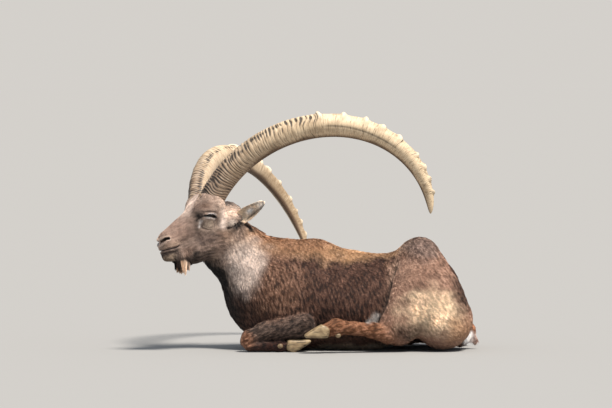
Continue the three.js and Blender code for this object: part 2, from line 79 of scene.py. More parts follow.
def ellipsoid(at, radii, turn=0.0):
    at = np.array(at, float)
    radii = np.array(radii, float)
    c, s = math.cos(math.radians(turn)), math.sin(math.radians(turn))

    def field(p):
        q = p - at
        if turn:
            q = np.stack((c * q[:, 0] - s * q[:, 2], q[:, 1], s * q[:, 0] + c * q[:, 2]), 1)
        near = np.linalg.norm(q / radii, axis=1)
        slope = np.linalg.norm(q / radii**2, axis=1)
        return near * (near - 1) / np.maximum(slope, 1e-9)

    return field


def limb(start, end, radius_start, radius_end, flat=1.0):
    """Tapers from one round end to the other; flat narrows or widens it sideways, along Y."""
    start = np.array(start, float)
    squash = np.array([1.0, 1.0 / flat, 1.0])
    axis = (np.array(end, float) - start) * squash

    def field(p):
        q = (p - start) * squash
        t = np.clip(q @ axis / (axis @ axis), 0, 1)
        radius = radius_start + (radius_end - radius_start) * t
        return (np.linalg.norm(q - t[:, None] * axis, axis=1) - radius) * min(flat, 1)

    return field


def melt(width, *fields):
    """Joins fields with soft creases; the width of the creases may be a function of the points"""

    def field(p):
        wide = width(p) if callable(width) else width
        total = fields[0](p)
        for other in fields[1:]:
            d = other(p)
            h = np.maximum(wide - np.abs(total - d), 0) / wide
            total = np.minimum(total, d) - h * h * wide / 4
        return total

    return field


def within(low, high, field):
    """Works a field out only inside a box, to save time."""
    far = 400.0

    def boxed(p):
        inside = np.all((p > low) & (p < high), axis=1)
        out = np.full(len(p), far)
        if inside.any():
            out[inside] = field(p[inside])
        return out

    return boxed


def both_sides(make):
    return [make(1), make(-1)]


def chain(width, balls):
    """Balls, each a centre and a radius, with tapers between them"""
    links = [limb(a[:3], b[:3], a[3], b[3]) for a, b in zip(balls, balls[1:])]
    return melt(width, *links)


def boxed_chain(width, *chains):
    """A melted set of chains, worked out only near its balls"""
    balls = np.array([ball for balls in chains for ball in balls], float)
    reach = 70.0
    low = (balls[:, :3] - balls[:, 3:]).min(0) - reach
    high = (balls[:, :3] + balls[:, 3:]).max(0) + reach
    inner = 20 if len(chains) > 1 else width
    links = [chain(inner, balls) for balls in chains]
    return within(low, high, melt(width, *links))


def head_field():
    skull = melt(
        20,
        ellipsoid([-54, 0, -66], [62, 53, 52]),  # braincase
        limb([50, 0, -50], [164, 0, -80], 48, 32, 0.82),  # bridge of the nose
        ellipsoid([176, 0, -102], [26, 24, 19]),  # upper lip
        limb([188, 0, -129], [90, 0, -136], 18, 37, 0.86),  # lower jaw
        limb([90, 0, -136], [16, 0, -128], 37, 50, 0.86),  # throat between the jaws
        *both_sides(lambda s: ellipsoid([20, 44 * s, -41], [34, 15, 22])),  # orbits
        *both_sides(lambda s: ellipsoid([6, 26 * s, -104], [60, 28, 54], 20)),  # cheeks
        *both_sides(lambda s: ellipsoid([178, 14 * s, -84], [17, 13, 18])),  # nostrils
    )
    cuffs = both_sides(lambda s: limb([12, 27 * s, -26], [2, 36 * s, -10], 43, 43))  # round the horns
    solid = melt(34, skull, *cuffs)
    return within([-620, -330, 120], [-110, 230, 620], lambda p: solid(to_head(p)))


def neck_field():
    return melt(
        30,
        limb([-168, 0, 222], [-274, -14, 322], 131, 89, 0.74),
        limb([-274, -14, 322], [-290, -28, 358], 89, 72, 0.8),
    )


def trunk_field():
    return melt(
        45,
        ellipsoid([-73, 0, 164], [212, 148, 168]),  # ribs
        ellipsoid([122, 4, 142], [226, 166, 150]),  # belly
        limb([-83, 0, 278], [-6, 0, 287], 50, 46, 0.9),  # withers
        limb([-6, 0, 287], [92, 0, 262], 46, 42, 0.9),  # back
        limb([97, 0, 246], [310, -12, 252], 44, 50, 1.2),  # loin and croup
        ellipsoid([312, 15, 168], [141, 128, 142]),  # pelvis
        ellipsoid([444, -14, 52], [44, 58, 46]),  # rump below the tail
        *both_sides(lambda s: ellipsoid([-121, 92 * s, 168], [92, 58, 118], -24)),  # shoulders
    )


THIGHS = {
    "thigh_left": [
        [[319, -62, 294, 62], [358, -92, 168, 94], [391, -98, 98, 94]],
        [[298, -104, 188, 78], [250, -128, 86, 68]],
    ],
    "thigh_right": [
        [[320, 70, 214, 62], [350, 104, 136, 92], [376, 112, 92, 88]],
        [[294, 112, 142, 80], [226, 146, 74, 68]],
    ],
}
FORE_SHIFT = {"left": 0, "right": 12}  # the right foreleg lies a little further back


def foreleg(side):
    s = -1 if side == "left" else 1
    shift = FORE_SHIFT[side]
    return {
        f"forearm_{side}": [
            [-50 + shift, 136 * s, 82, 43],
            [-166 + shift, 143 * s, 65, 29],
            [-210 + shift, 147 * s, 44, 27],
            [-218 + shift, 148 * s, 34, 25],
        ],
        f"fore_cannon_{side}": [
            [-213 + shift, 153 * s, 22, 21],
            [-160 + shift, 153 * s, 18, 15],
            [-122 + shift, 150 * s, 19, 18],
            [-90 + shift, 146 * s, 18, 16],
        ],
    }


# Each leg piece and the tail, as balls from its upper end to its lower one
LIMBS = {
    **foreleg("left"),
    **foreleg("right"),
    "hind_cannon_left": [
        [218, -158, 58, 34],
        [168, -180, 70, 24],
        [112, -198, 77, 20],
        [56, -210, 81, 26],
        [24, -214, 72, 22],
    ],
    "hind_cannon_right": [
        [452, 142, 40, 38],
        [400, 164, 32, 25],
        [346, 184, 26, 19],
        [288, 208, 23, 23],
        [254, 214, 20, 20],
    ],
    "tail": [
        [440, 0, 132, 18],
        [458, -2, 100, 22],
        [473, -5, 66, 20],
        [489, -8, 34, 15],
    ],
}

fields = {
    "trunk": trunk_field(),
    "neck": neck_field(),
    "head": head_field(),
    **{name: boxed_chain(40, *chains) for name, chains in THIGHS.items()},
    **{name: boxed_chain(10, balls) for name, balls in LIMBS.items()},
}
PARTS = list(fields)
THIGH_CREASE = 16  # width over which a thigh melts into the flank
HIP_CREASE = 60  # the same at the hip, above the fold
LEG_CREASE = 7  # the same where the other limbs join
CANNON_CREASE = 2.5  # a folded foreleg lies in two separate lengths

core = melt(20, melt(46, fields["trunk"], fields["neck"]), fields["head"])
hip_width = lambda p: THIGH_CREASE + (HIP_CREASE - THIGH_CREASE) * smooth(215, 290, p[:, 2])
torso = melt(hip_width, core, fields["thigh_left"], fields["thigh_right"])
cannons = [fields["fore_cannon_left"], fields["fore_cannon_right"]]
other_limbs = [fields[name] for name in LIMBS if not name.startswith("fore_cannon")]
flesh = melt(CANNON_CREASE, melt(LEG_CREASE, torso, *other_limbs), *cannons)


def smooth(low, high, value):
    t = np.clip((value - low) / (high - low), 0, 1)
    return t * t * (3 - 2 * t)


def bell(value, width):
    """1 in the middle, falling off over the given width"""
    return np.exp(-((value / width) ** 2))


def ripples(p, size, seed):
    """Smooth random values of about -1 to 1 that change over the given size in millimetres"""
    rng = np.random.default_rng(seed)
    waves = 14
    total = np.zeros(len(p))
    for _ in range(waves):
        way = rng.normal(size=3)
        way *= 2 * math.pi / (size * np.linalg.norm(way) * rng.uniform(0.7, 1.6))
        total += np.sin(p @ way + rng.uniform(0, 2 * math.pi))
    return total / math.sqrt(waves / 2)


def part_distances(p):
    return np.stack([fields[name](p) for name in PARTS], 1)


def part_shares(p):
    """How much each point belongs to each part; the shares add up to one."""
    blend = 9.0
    d = part_distances(p)
    share = np.exp(-(d - d.min(1, keepdims=True)) / blend)
    return share / share.sum(1, keepdims=True)


def unit(v):
    return v / np.maximum(np.linalg.norm(v, axis=-1, keepdims=True), 1e-9)


def alike(name, value):
    """The same entry for the left and the right one of a pair"""
    return {f"{name}_{side}": value for side in ("left", "right")}


# How the coat lies on each part: the way of the hair, its length, how deep the skin lies below the
# outline, how far the tufts stand up in degrees, and how densely they grow
COAT = {
    "trunk": dict(way=[0.36, 0, -0.93], length=10.5, depth=2.6, lift=15, dense=1.0),
    "neck": dict(way=[0.42, 0.06, -0.9], length=11.5, depth=2.9, lift=15, dense=1.05),
    "head": dict(way=list(-FORWARD - 0.25 * UP), length=9, depth=2.2, lift=19, dense=1.8),
    **alike("thigh", dict(way=[0.72, 0, -0.7], length=10, depth=2.4, lift=14, dense=1.0)),
    **alike("forearm", dict(way=[-0.95, 0, -0.3], length=10, depth=2.3, lift=15, dense=1.4)),
    **alike("fore_cannon", dict(way=[1, 0, -0.05], length=7, depth=1.8, lift=15, dense=1.8)),
    "hind_cannon_left": dict(way=[-0.96, -0.28, 0.04], length=8, depth=2.0, lift=16, dense=1.8),
    "hind_cannon_right": dict(way=[-0.94, 0.34, -0.1], length=8, depth=2.0, lift=16, dense=1.8),
    "tail": dict(way=[0.2, -0.05, -0.97], length=20, depth=5, lift=15, dense=1.6),
}


def coat_value(shares, key):
    return shares @ np.array([COAT[name][key] for name in PARTS], float)


def coat_depth(p, shares):
    """Depth of the skin below the outline, least on the face"""
    depth = coat_value(shares, "depth")
    face = smooth(-60, 60, to_head(p)[:, 0]) * shares[:, PARTS.index("head")]
    return depth * (1 - 0.45 * face)


# The skin


def net(field, low, high, grid):
    """Polygons round the inside of a field: one point in each grid cell that the surface crosses"""
    axes = [np.arange(a, b + grid, grid) for a, b in zip(low, high)]
    points = np.stack([g.ravel() for g in np.meshgrid(*axes, indexing="ij")], 1)
    values = field(points).reshape([len(a) for a in axes])
    inside = values < 0
    steps = np.eye(3, dtype=int)

    count = np.zeros([len(a) - 1 for a in axes], int)
    for corner in np.ndindex(2, 2, 2):
        window = tuple(slice(c, c + n) for c, n in zip(corner, count.shape))
        count += inside[window]
    active = (count > 0) & (count < 8)
    cells = np.argwhere(active)
    index = np.full(active.shape, -1)
    index[active] = np.arange(len(cells))

    total = np.zeros((len(cells), 3))
    crossings = np.zeros(len(cells))
    for axis in range(3):
        across = [steps[(axis + 1) % 3], steps[(axis + 2) % 3]]
        for u, v in np.ndindex(2, 2):
            a = cells + u * across[0] + v * across[1]
            b = a + steps[axis]
            level_a, level_b = values[tuple(a.T)], values[tuple(b.T)]
            cross = (level_a < 0) != (level_b < 0)
            share = level_a / np.where(cross, level_a - level_b, 1)
            total[cross] += (a + share[:, None] * steps[axis])[cross]
            crossings += cross
    places = np.array(low) + grid * total / crossings[:, None]

    quads = []
    for axis in range(3):
        one, two = steps[(axis + 1) % 3], steps[(axis + 2) % 3]
        ahead = np.roll(inside, -1, axis)
        change = inside != ahead
        change[tuple(slice(-1, None) if i == axis else slice(None) for i in range(3))] = False
        at = np.argwhere(change)
        ring = [at, at - one, at - one - two, at - two]
        quad = np.stack([index[tuple(r.T)] for r in ring], 1)
        leaving = inside[tuple(at.T)]
        quad[~leaving] = quad[~leaving][:, ::-1]
        quads.append(quad)
    return places, np.concatenate(quads)


def settle(field, p, depth_of, rounds=4):
    """Moves points onto the level of the field that lies at the given depth"""
    step = 0.5
    for _ in range(rounds):
        level = -depth_of(p)
        value = field(p)
        slope = np.stack([field(p + step * way) - value for way in np.eye(3)], 1) / step
        p = p - slope * ((value - level) / np.maximum((slope**2).sum(1), 0.3))[:, None]
    return p


def add_object(name, data):
    piece = bpy.data.objects.new(name, data)
    bpy.context.scene.collection.objects.link(piece)
    return piece


def mesh_object(name, places, faces):
    """A smooth mesh object from points in millimetres"""
    mesh = bpy.data.meshes.new(name)
    mesh.from_pydata((np.asarray(places) * MM).tolist(), [], [list(map(int, f)) for f in faces])
    mesh.update()
    mesh.shade_smooth()
    return add_object(name, mesh)


def points_of(mesh):
    flat = np.empty(len(mesh.vertices) * 3, np.float32)
    mesh.vertices.foreach_get("co", flat)
    return flat.reshape(-1, 3).astype(float) / MM


def normals_of(mesh):
    flat = np.empty(len(mesh.vertices) * 3, np.float32)
    mesh.vertices.foreach_get("normal", flat)
    return flat.reshape(-1, 3).astype(float)


def place_points(mesh, places):
    mesh.vertices.foreach_set("co", (places * MM).astype(np.float32).ravel())
    mesh.update()


def store(mesh, name, kind, values):
    """Keeps a value for each point of a mesh; kind is FLOAT, FLOAT_VECTOR or FLOAT_COLOR"""
    slot = {"FLOAT": "value", "FLOAT_VECTOR": "vector", "FLOAT_COLOR": "color"}[kind]
    layers = mesh.color_attributes if kind == "FLOAT_COLOR" else mesh.attributes
    layer = layers.new(name, kind, "POINT")
    layer.data.foreach_set(slot, np.asarray(values, np.float32).ravel())


def refine(mesh, chosen):
    """Splits every edge in two where both of its ends are chosen"""
    bm = bmesh.new()
    bm.from_mesh(mesh)
    edges = [e for e in bm.edges if chosen[e.verts[0].index] and chosen[e.verts[1].index]]
    bmesh.ops.subdivide_edges(bm, edges=edges, cuts=1, use_grid_fill=True)
    bm.to_mesh(mesh)
    bm.free()


SKIN_GRID = 6.0  # cells of the skin, before it is refined on the head
EYE_AT = np.array([28.0, 50.0, -46.0])  # the left eye, in head coordinates
EYE_RADIUS = 16.0
LID = 1.6  # thickness of the lids


def skin_depth(p):
    return coat_depth(p, part_shares(p))


def make_skin():
    low, high = [-530, -262, -24], [530, 262, 520]
    places, faces = net(flesh, low, high, SKIN_GRID)
    skin = mesh_object("skin", places, faces)
    on_head = lambda q: (q[:, 0] > -105) & (q[:, 2] > -210)
    on_face = lambda q: on_head(q) & (q[:, 0] > -15)
    by_eye = lambda q: np.linalg.norm(np.abs(q) * [1, 1, -1] - EYE_AT, axis=1) < 27
    for region in (on_head, on_face, by_eye):
        places = settle(flesh, points_of(skin.data), skin_depth, rounds=2)
        place_points(skin.data, places)
        refine(skin.data, region(to_head(places)))
    places = settle(flesh, points_of(skin.data), skin_depth)
    places[:, 2] = np.maximum(places[:, 2], FLOOR_GAP)
    place_points(skin.data, places)
    return skin


# Lines on the face, in head coordinates seen from the side: forward and up
MOUTH_LINE = [(208, -108), (194, -109.5), (176, -110.5), (158, -112), (145, -109)]
NOSTRIL_LINE = [(206, -87), (199, -81.5), (190, -77), (181, -78.5)]
TEAR_LINE = [(50, -42), (60, -44), (70, -50)]
EAR_GAP = [(-46, -99), (-62, -93), (-78, -88), (-96, -114)]  # gap between ear and neck, painted dark as the ear's shadow
EAR_PIT = [(-20, -99), (-34, -101)]  # pit below the root of the ear, painted dark as shade
SLIT_AT = (32.0, -51.0)  # middle of the gap between the lids
SLIT_TILT = 22.0  # the gap climbs towards the nose, by this many degrees
SLIT_HALF = 20.0  # from the middle of the gap to either corner
SLIT_OPEN = 4.0  # half of the gap in the middle
SLIT_ARCH = 2.6  # how far the gap bows up


def line_distance(points, line):
    """Distance of 2-D points from a broken line, and how far along it they lie, from 0 to 1"""
    line = np.array(line, float)
    best = np.full(len(points), 1e9)
    along = np.zeros(len(points))
    for i, (a, b) in enumerate(zip(line, line[1:])):
        axis = b - a
        t = np.clip((points - a) @ axis / (axis @ axis), 0, 1)
        d = np.linalg.norm(points - a - t[:, None] * axis, axis=1)
        near = d < best
        best[near] = d[near]
        along[near] = (i + t[near]) / (len(line) - 1)
    return best, along


def lid_places(f, u):
    """Along and across the gap between the lids, for points in head coordinates seen from the side"""
    tilt = math.radians(SLIT_TILT)
    df, du = f - SLIT_AT[0], u - SLIT_AT[1]
    along = df * math.cos(tilt) + du * math.sin(tilt)
    across = du * math.cos(tilt) - df * math.sin(tilt)
    bow = SLIT_ARCH * np.clip(1 - (along / SLIT_HALF) ** 2, 0, 1)
    return along, across - bow


def slit_edge(along):
    """Half height of the gap between the lids"""
    reach = np.clip(1 - (along / SLIT_HALF) ** 2, 0, 1)
    return SLIT_OPEN * reach**0.8


def sculpt_face(skin):
    """Adds lids, sockets, nostrils, mouth and the folds of the face"""
    p = points_of(skin.data)
    normal = normals_of(skin.data)
    q = to_head(p)
    f, l, u = q.T
    side = np.where(l > 0, 1.0, -1.0)
    flank = np.abs(l)
    profile = np.stack((f, u), 1)
    on_head = (f > -110) & (u > -200)
    rise = np.zeros(len(p))

    # Brow above the eye, hollow in front of it, bag and cheekbone below
    outer = smooth(26, 38, flank)
    along, across = lid_places(f, u)
    rise += 4.0 * outer * bell(along - 2, 24) * bell(across - 20, 8)
    rise -= 4.2 * outer * bell(along - 32, 9) * bell(across + 1, 12)
    bag = np.hypot((along - 1 - 0.18 * (across + 27)) / 18, (across + 26) / 13)
    rise += 2.8 * outer * bell(bag, 0.8)
    rise -= 1.6 * outer * bell(bag - 1.15, 0.24) * smooth(-18, -30, across)
    rise -= 0.8 * outer * bell(bag - 0.6, 0.1) * smooth(-22, -28, across)
    crest = line_distance(profile, [(52, -88), (84, -92), (118, -98)])[0]
    rise += 2.4 * smooth(18, 30, flank) * bell(crest, 8)
    tear = line_distance(profile, TEAR_LINE)[0]
    rise -= 2.4 * outer * bell(tear, 3)

    # Mouth: a narrow groove between two soft lips, deepest at the corner
    mouth, reach = line_distance(profile, MOUTH_LINE)
    front = smooth(138, 148, f)
    rise -= front * (3.6 + 1.6 * reach) * bell(mouth, 2.3)
    rise += front * 1.7 * bell(mouth - 6.5, 3.5)
    rise -= 1.4 * bell(l, 2.2) * smooth(186, 194, f) * smooth(-112, -106, u) * smooth(-84, -90, u)

    # Nostrils: commas that run in and back from the tip of the nose
    nostril, curl = line_distance(profile, NOSTRIL_LINE)
    beside = smooth(2, 6, flank)
    rise -= beside * 10 * bell(nostril, 3.5 - 1.0 * curl)
    rise += beside * 2.2 * bell(nostril - 6.5, 2.6) * smooth(168, 178, f)

    # Root of the ear: a gristly lump with a pit below it, and a gap between ear and neck
    by_ear = smooth(20, 32, flank)
    rise += 5.0 * by_ear * bell(np.hypot((f + 38) / 15, (u + 86) / 9), 1)
    rise -= 6.0 * by_ear * bell(line_distance(profile, EAR_PIT)[0], 4)
    rise -= 8.0 * by_ear * bell(line_distance(profile, EAR_GAP)[0], 4)

    # Jaw muscle and the edge of the cheek
    rise += 2.4 * smooth(24, 40, flank) * bell(f + 2, 22) * bell(u + 108, 26)
    rise -= 1.6 * smooth(20, 34, flank) * bell(f - 48, 11) * bell(u + 116, 24)
    p += normal * (rise * on_head - 9.0 * thigh_fold(p))[:, None]

    # Lids: drawn over the eyeball, and parted along the slit
    q = to_head(p)
    centre = EYE_AT * np.stack((np.ones_like(side), side, np.ones_like(side)), 1)
    arm = q - centre
    distance = np.linalg.norm(arm, axis=1)
    along, across = lid_places(q[:, 0], q[:, 2])
    outward = arm[:, 1] * side
    facing = smooth(0, 9, outward)
    upper = across > 0
    crease = bell(across - 11.0, 2.0) * smooth(24, 14, np.abs(along)) * 2.8
    fold = bell(across + 11.0, 1.8) * smooth(22, 12, np.abs(along)) * 1.8
    lid_radius = EYE_RADIUS + LID + np.where(upper, 1.6, 0.9) * bell(across, 7) - crease - fold
    covered = facing * smooth(EYE_RADIUS + 12, EYE_RADIUS + 3, distance) * on_head
    wanted = np.maximum(distance, lid_radius)
    push = covered * (wanted - distance)
    gap = slit_edge(along)
    corner = smooth(SLIT_HALF + 1.5, SLIT_HALF - 1, np.abs(along))
    open_here = corner * smooth(gap + 0.5, gap - 0.3, np.abs(across)) * smooth(4, 9, outward)
    deep = EYE_RADIUS - 2.0
    reached = distance + push
    reached = reached + open_here * (np.minimum(reached, deep) - reached)
    q = centre + arm * (reached / np.maximum(distance, 1e-6))[:, None]
    near_eye = on_head & (distance < EYE_RADIUS + 12)
    p[near_eye] = from_head(q[near_eye])
    place_points(skin.data, p)


# Ears: cupped leaves whose roots are buried in the head
EAR_LENGTH = 104.0
EAR_AT = [-70, 42, -84]


def ear_frame(side):
    along = unit(np.array([-0.62, 0.72 * side, 0.27]))
    opening = np.array([0.55, 0.8 * side, -0.2])
    opening = unit(opening - (opening @ along) * along)
    return along, opening, np.cross(along, opening)


def ear_points(side, rings=44, around=40):
    """Rings of points from root to tip; each goes over the inside of the ear and back over its outside"""
    along, opening, across = ear_frame(side)
    root = np.array([EAR_AT[0], EAR_AT[1] * side, EAR_AT[2]], float)
    places = []
    for t in np.linspace(-0.12, 1, rings):
        stretch = max(t, 0.0)
        half = 3 + 20 * math.sqrt(math.sin(math.pi * (0.14 + 0.86 * stretch) ** 0.8) + 0.001)
        half *= 1 - 0.18 * stretch
        if t > 0.985:
            half *= 0.5
        cup = 15 * (1 - stretch) ** 0.8 * min(stretch * 5 + 0.2, 1)
        wall = 5.0 - 3.2 * stretch
        sweep = np.linspace(0, 2 * math.pi, around, endpoint=False)
        v = np.cos(sweep)
        lift = np.sin(sweep) * wall / 2
        bow = cup * (1 - v * v) + 2.0 * stretch * np.cos(3 * v)
        curl = 3.0 * np.abs(v) ** 3 * (1 - stretch)  # the rims turn in
        ring = (
            root
            + along * (t * EAR_LENGTH)
            + across * (v * half)[:, None]
            + opening * (lift - bow + curl)[:, None]
        )
        places.append(from_head(ring))
    return np.array(places)


def loft_faces(rings, around, start=0, close_start=True, close_end=True):
    ids = start + np.arange(rings * around).reshape(rings, around)
    nxt = np.roll(ids, -1, axis=1)
    quads = np.stack((ids[:-1], nxt[:-1], nxt[1:], ids[1:]), -1).reshape(-1, 4).tolist()
    if close_start:
        quads.append(ids[0][::-1].tolist())
    if close_end:
        quads.append(ids[-1].tolist())
    return quads


def add_ears(skin):
    """Joins both ears to the skin; returns for each point of the skin which ear it is on, or 0"""
    before = len(skin.data.vertices)
    mark = [np.zeros(before)]
    pieces = []
    for side in (1, -1):
        rings = ear_points(side)
        faces = loft_faces(*rings.shape[:2])
        if side > 0:
            faces = [f[::-1] for f in faces]
        ear = mesh_object(f"ear_{side}", rings.reshape(-1, 3), faces)
        pieces.append(ear)
        mark.append(np.full(rings.shape[0] * rings.shape[1], float(side)))
    with bpy.context.temp_override(active_object=skin, selected_editable_objects=[skin, *pieces]):
        bpy.ops.object.join()
    return np.concatenate(mark)


# Colours of the coat


def linear(code):
    """sRGB hex to linear"""
    parts = [int(code[i : i + 2], 16) / 255 for i in (1, 3, 5)]
    return np.array([c / 12.92 if c <= 0.04045 else ((c + 0.055) / 1.055) ** 2.4 for c in parts])


BRIGHTNESS = np.array([0.21, 0.72, 0.07])  # weights of red, green and blue

BASE_COLOURS = {
    "trunk": "#4c2f23",
    "neck": "#8b7568",
    "head": "#836e62",
    **alike("thigh", "#9c7763"),
    **alike("forearm", "#4e3d35"),
    # The cannons of the folded forelegs: dark red-brown, darker still as painted shade under the body
    **alike("fore_cannon", "#331106"),
    **alike("hind_cannon", "#8d5c3d"),
    "tail": "#925c3a",
}

# Soft patches: centre and radii in millimetres, colour, strength
PATCHES = [
    ([60, 0, 352], [320, 170, 72], "#d2a478", 0.95),  # top of the back, lighter: painted sunlight
    ([-60, 0, 345], [165, 120, 60], "#94694c", 0.85),  # withers
    ([-175, 0, 385], [80, 60, 60], "#7c4d2b", 0.85),  # nape
    *both_sides(lambda s: ([-138, -130 * s, 212], [98, 90, 115], "#785440", 0.85)),  # shoulder
    *both_sides(lambda s: ([-226, -90 * s, 262], [66, 90, 94], "#dccabe", 0.85)),  # side of the neck: pale coat, lighter still as painted sunlight
    ([-275, 0, 130], [50, 110, 150], "#241b17", 0.9),  # front of the chest: dark coat, darker still as painted shade
    ([-314, -20, 225], [34, 90, 60], "#120d0a", 0.97),  # front of the neck: painted shadow under the jaw
    ([-340, -30, 262], [38, 70, 34], "#050403", 1.0),  # throat: painted shadow cast by the jaw
    ([-322, -120, 316], [26, 60, 26], "#bea391", 0.85),  # behind the corner of the jaw: painted light that lifts the jaw's shadow
    ([162, -140, 94], [15, 60, 15], "#d2ccc6", 0.9),  # groin
    ([180, -140, 112], [16, 60, 18], "#d2ccc6", 0.9),
    ([146, 150, 84], [14, 40, 18], "#d2ccc6", 0.9),
    ([120, 0, 0], [190, 110, 30], "#c2b29c", 0.8),  # belly
    ([270, -110, 236], [50, 90, 60], "#c09a83", 0.6),  # front of the thigh
    ([352, -170, 126], [98, 90, 76], "#ffe2be", 0.92),  # light patch on the thigh: pale coat, lighter still as painted sunlight where the thigh faces up
    ([352, 190, 116], [98, 90, 76], "#ffe2be", 0.92),
    ([425, -110, 80], [55, 80, 60], "#c89a74", 0.8),
    *both_sides(lambda s: ([448, -100 * s, 196], [36, 120, 90], "#4a3024", 0.9)),  # dark back of the thigh
    ([320, -90, 335], [75, 90, 52], "#7d6860", 0.85),  # hip: greyed as a painted sheen
    ([290, -190, 66], [55, 60, 34], "#4a372b", 0.7),  # hollow under the thigh: painted shade
    ([-226, -150, 40], [30, 60, 36], "#8d5d42", 0.8),  # knees
    ([-214, 150, 40], [30, 60, 36], "#8d5d42", 0.8),
    ([477, -40, 36], [25, 70, 26], "#ffffff", 1.0),  # rump
    ([477, 30, 36], [25, 50, 26], "#ffffff", 1.0),
]


def mixed(colour, other, share):
    return colour + (other - colour) * share[:, None]


def markings(p, shares):
    """Colour of the coat at each point, in linear light"""
    base = np.array([linear(BASE_COLOURS[name]) for name in PARTS])
    colour = shares @ base
    for centre, radii, code, strength in PATCHES:
        far = np.linalg.norm((p - centre) / radii, axis=1)
        far = far + 0.10 * ripples(p, 60, 5)
        colour = mixed(colour, linear(code), strength * smooth(1.35, 0.45, far))
    colour = mixed(colour, linear(BASE_COLOURS["tail"]), shares[:, PARTS.index("tail")])
    # Painted shade: the deep fold between belly and thigh is darkened
    colour = mixed(colour, linear("#120c09"), 0.95 * thigh_fold(p))
    return mixed_face(colour, p, shares[:, PARTS.index("head")])


def thigh_fold(p):
    """1 along the deep fold between belly and thigh, fading out towards the hip"""
    core_here = fields["trunk"](p)
    near = np.minimum(fields["thigh_left"](p), fields["thigh_right"](p))
    fold = bell(near - core_here, 10) * smooth(16, 4, np.minimum(near, core_here))
    return fold * smooth(310, 250, p[:, 2]) * smooth(70, 100, p[:, 2]) * smooth(280, 240, p[:, 0])


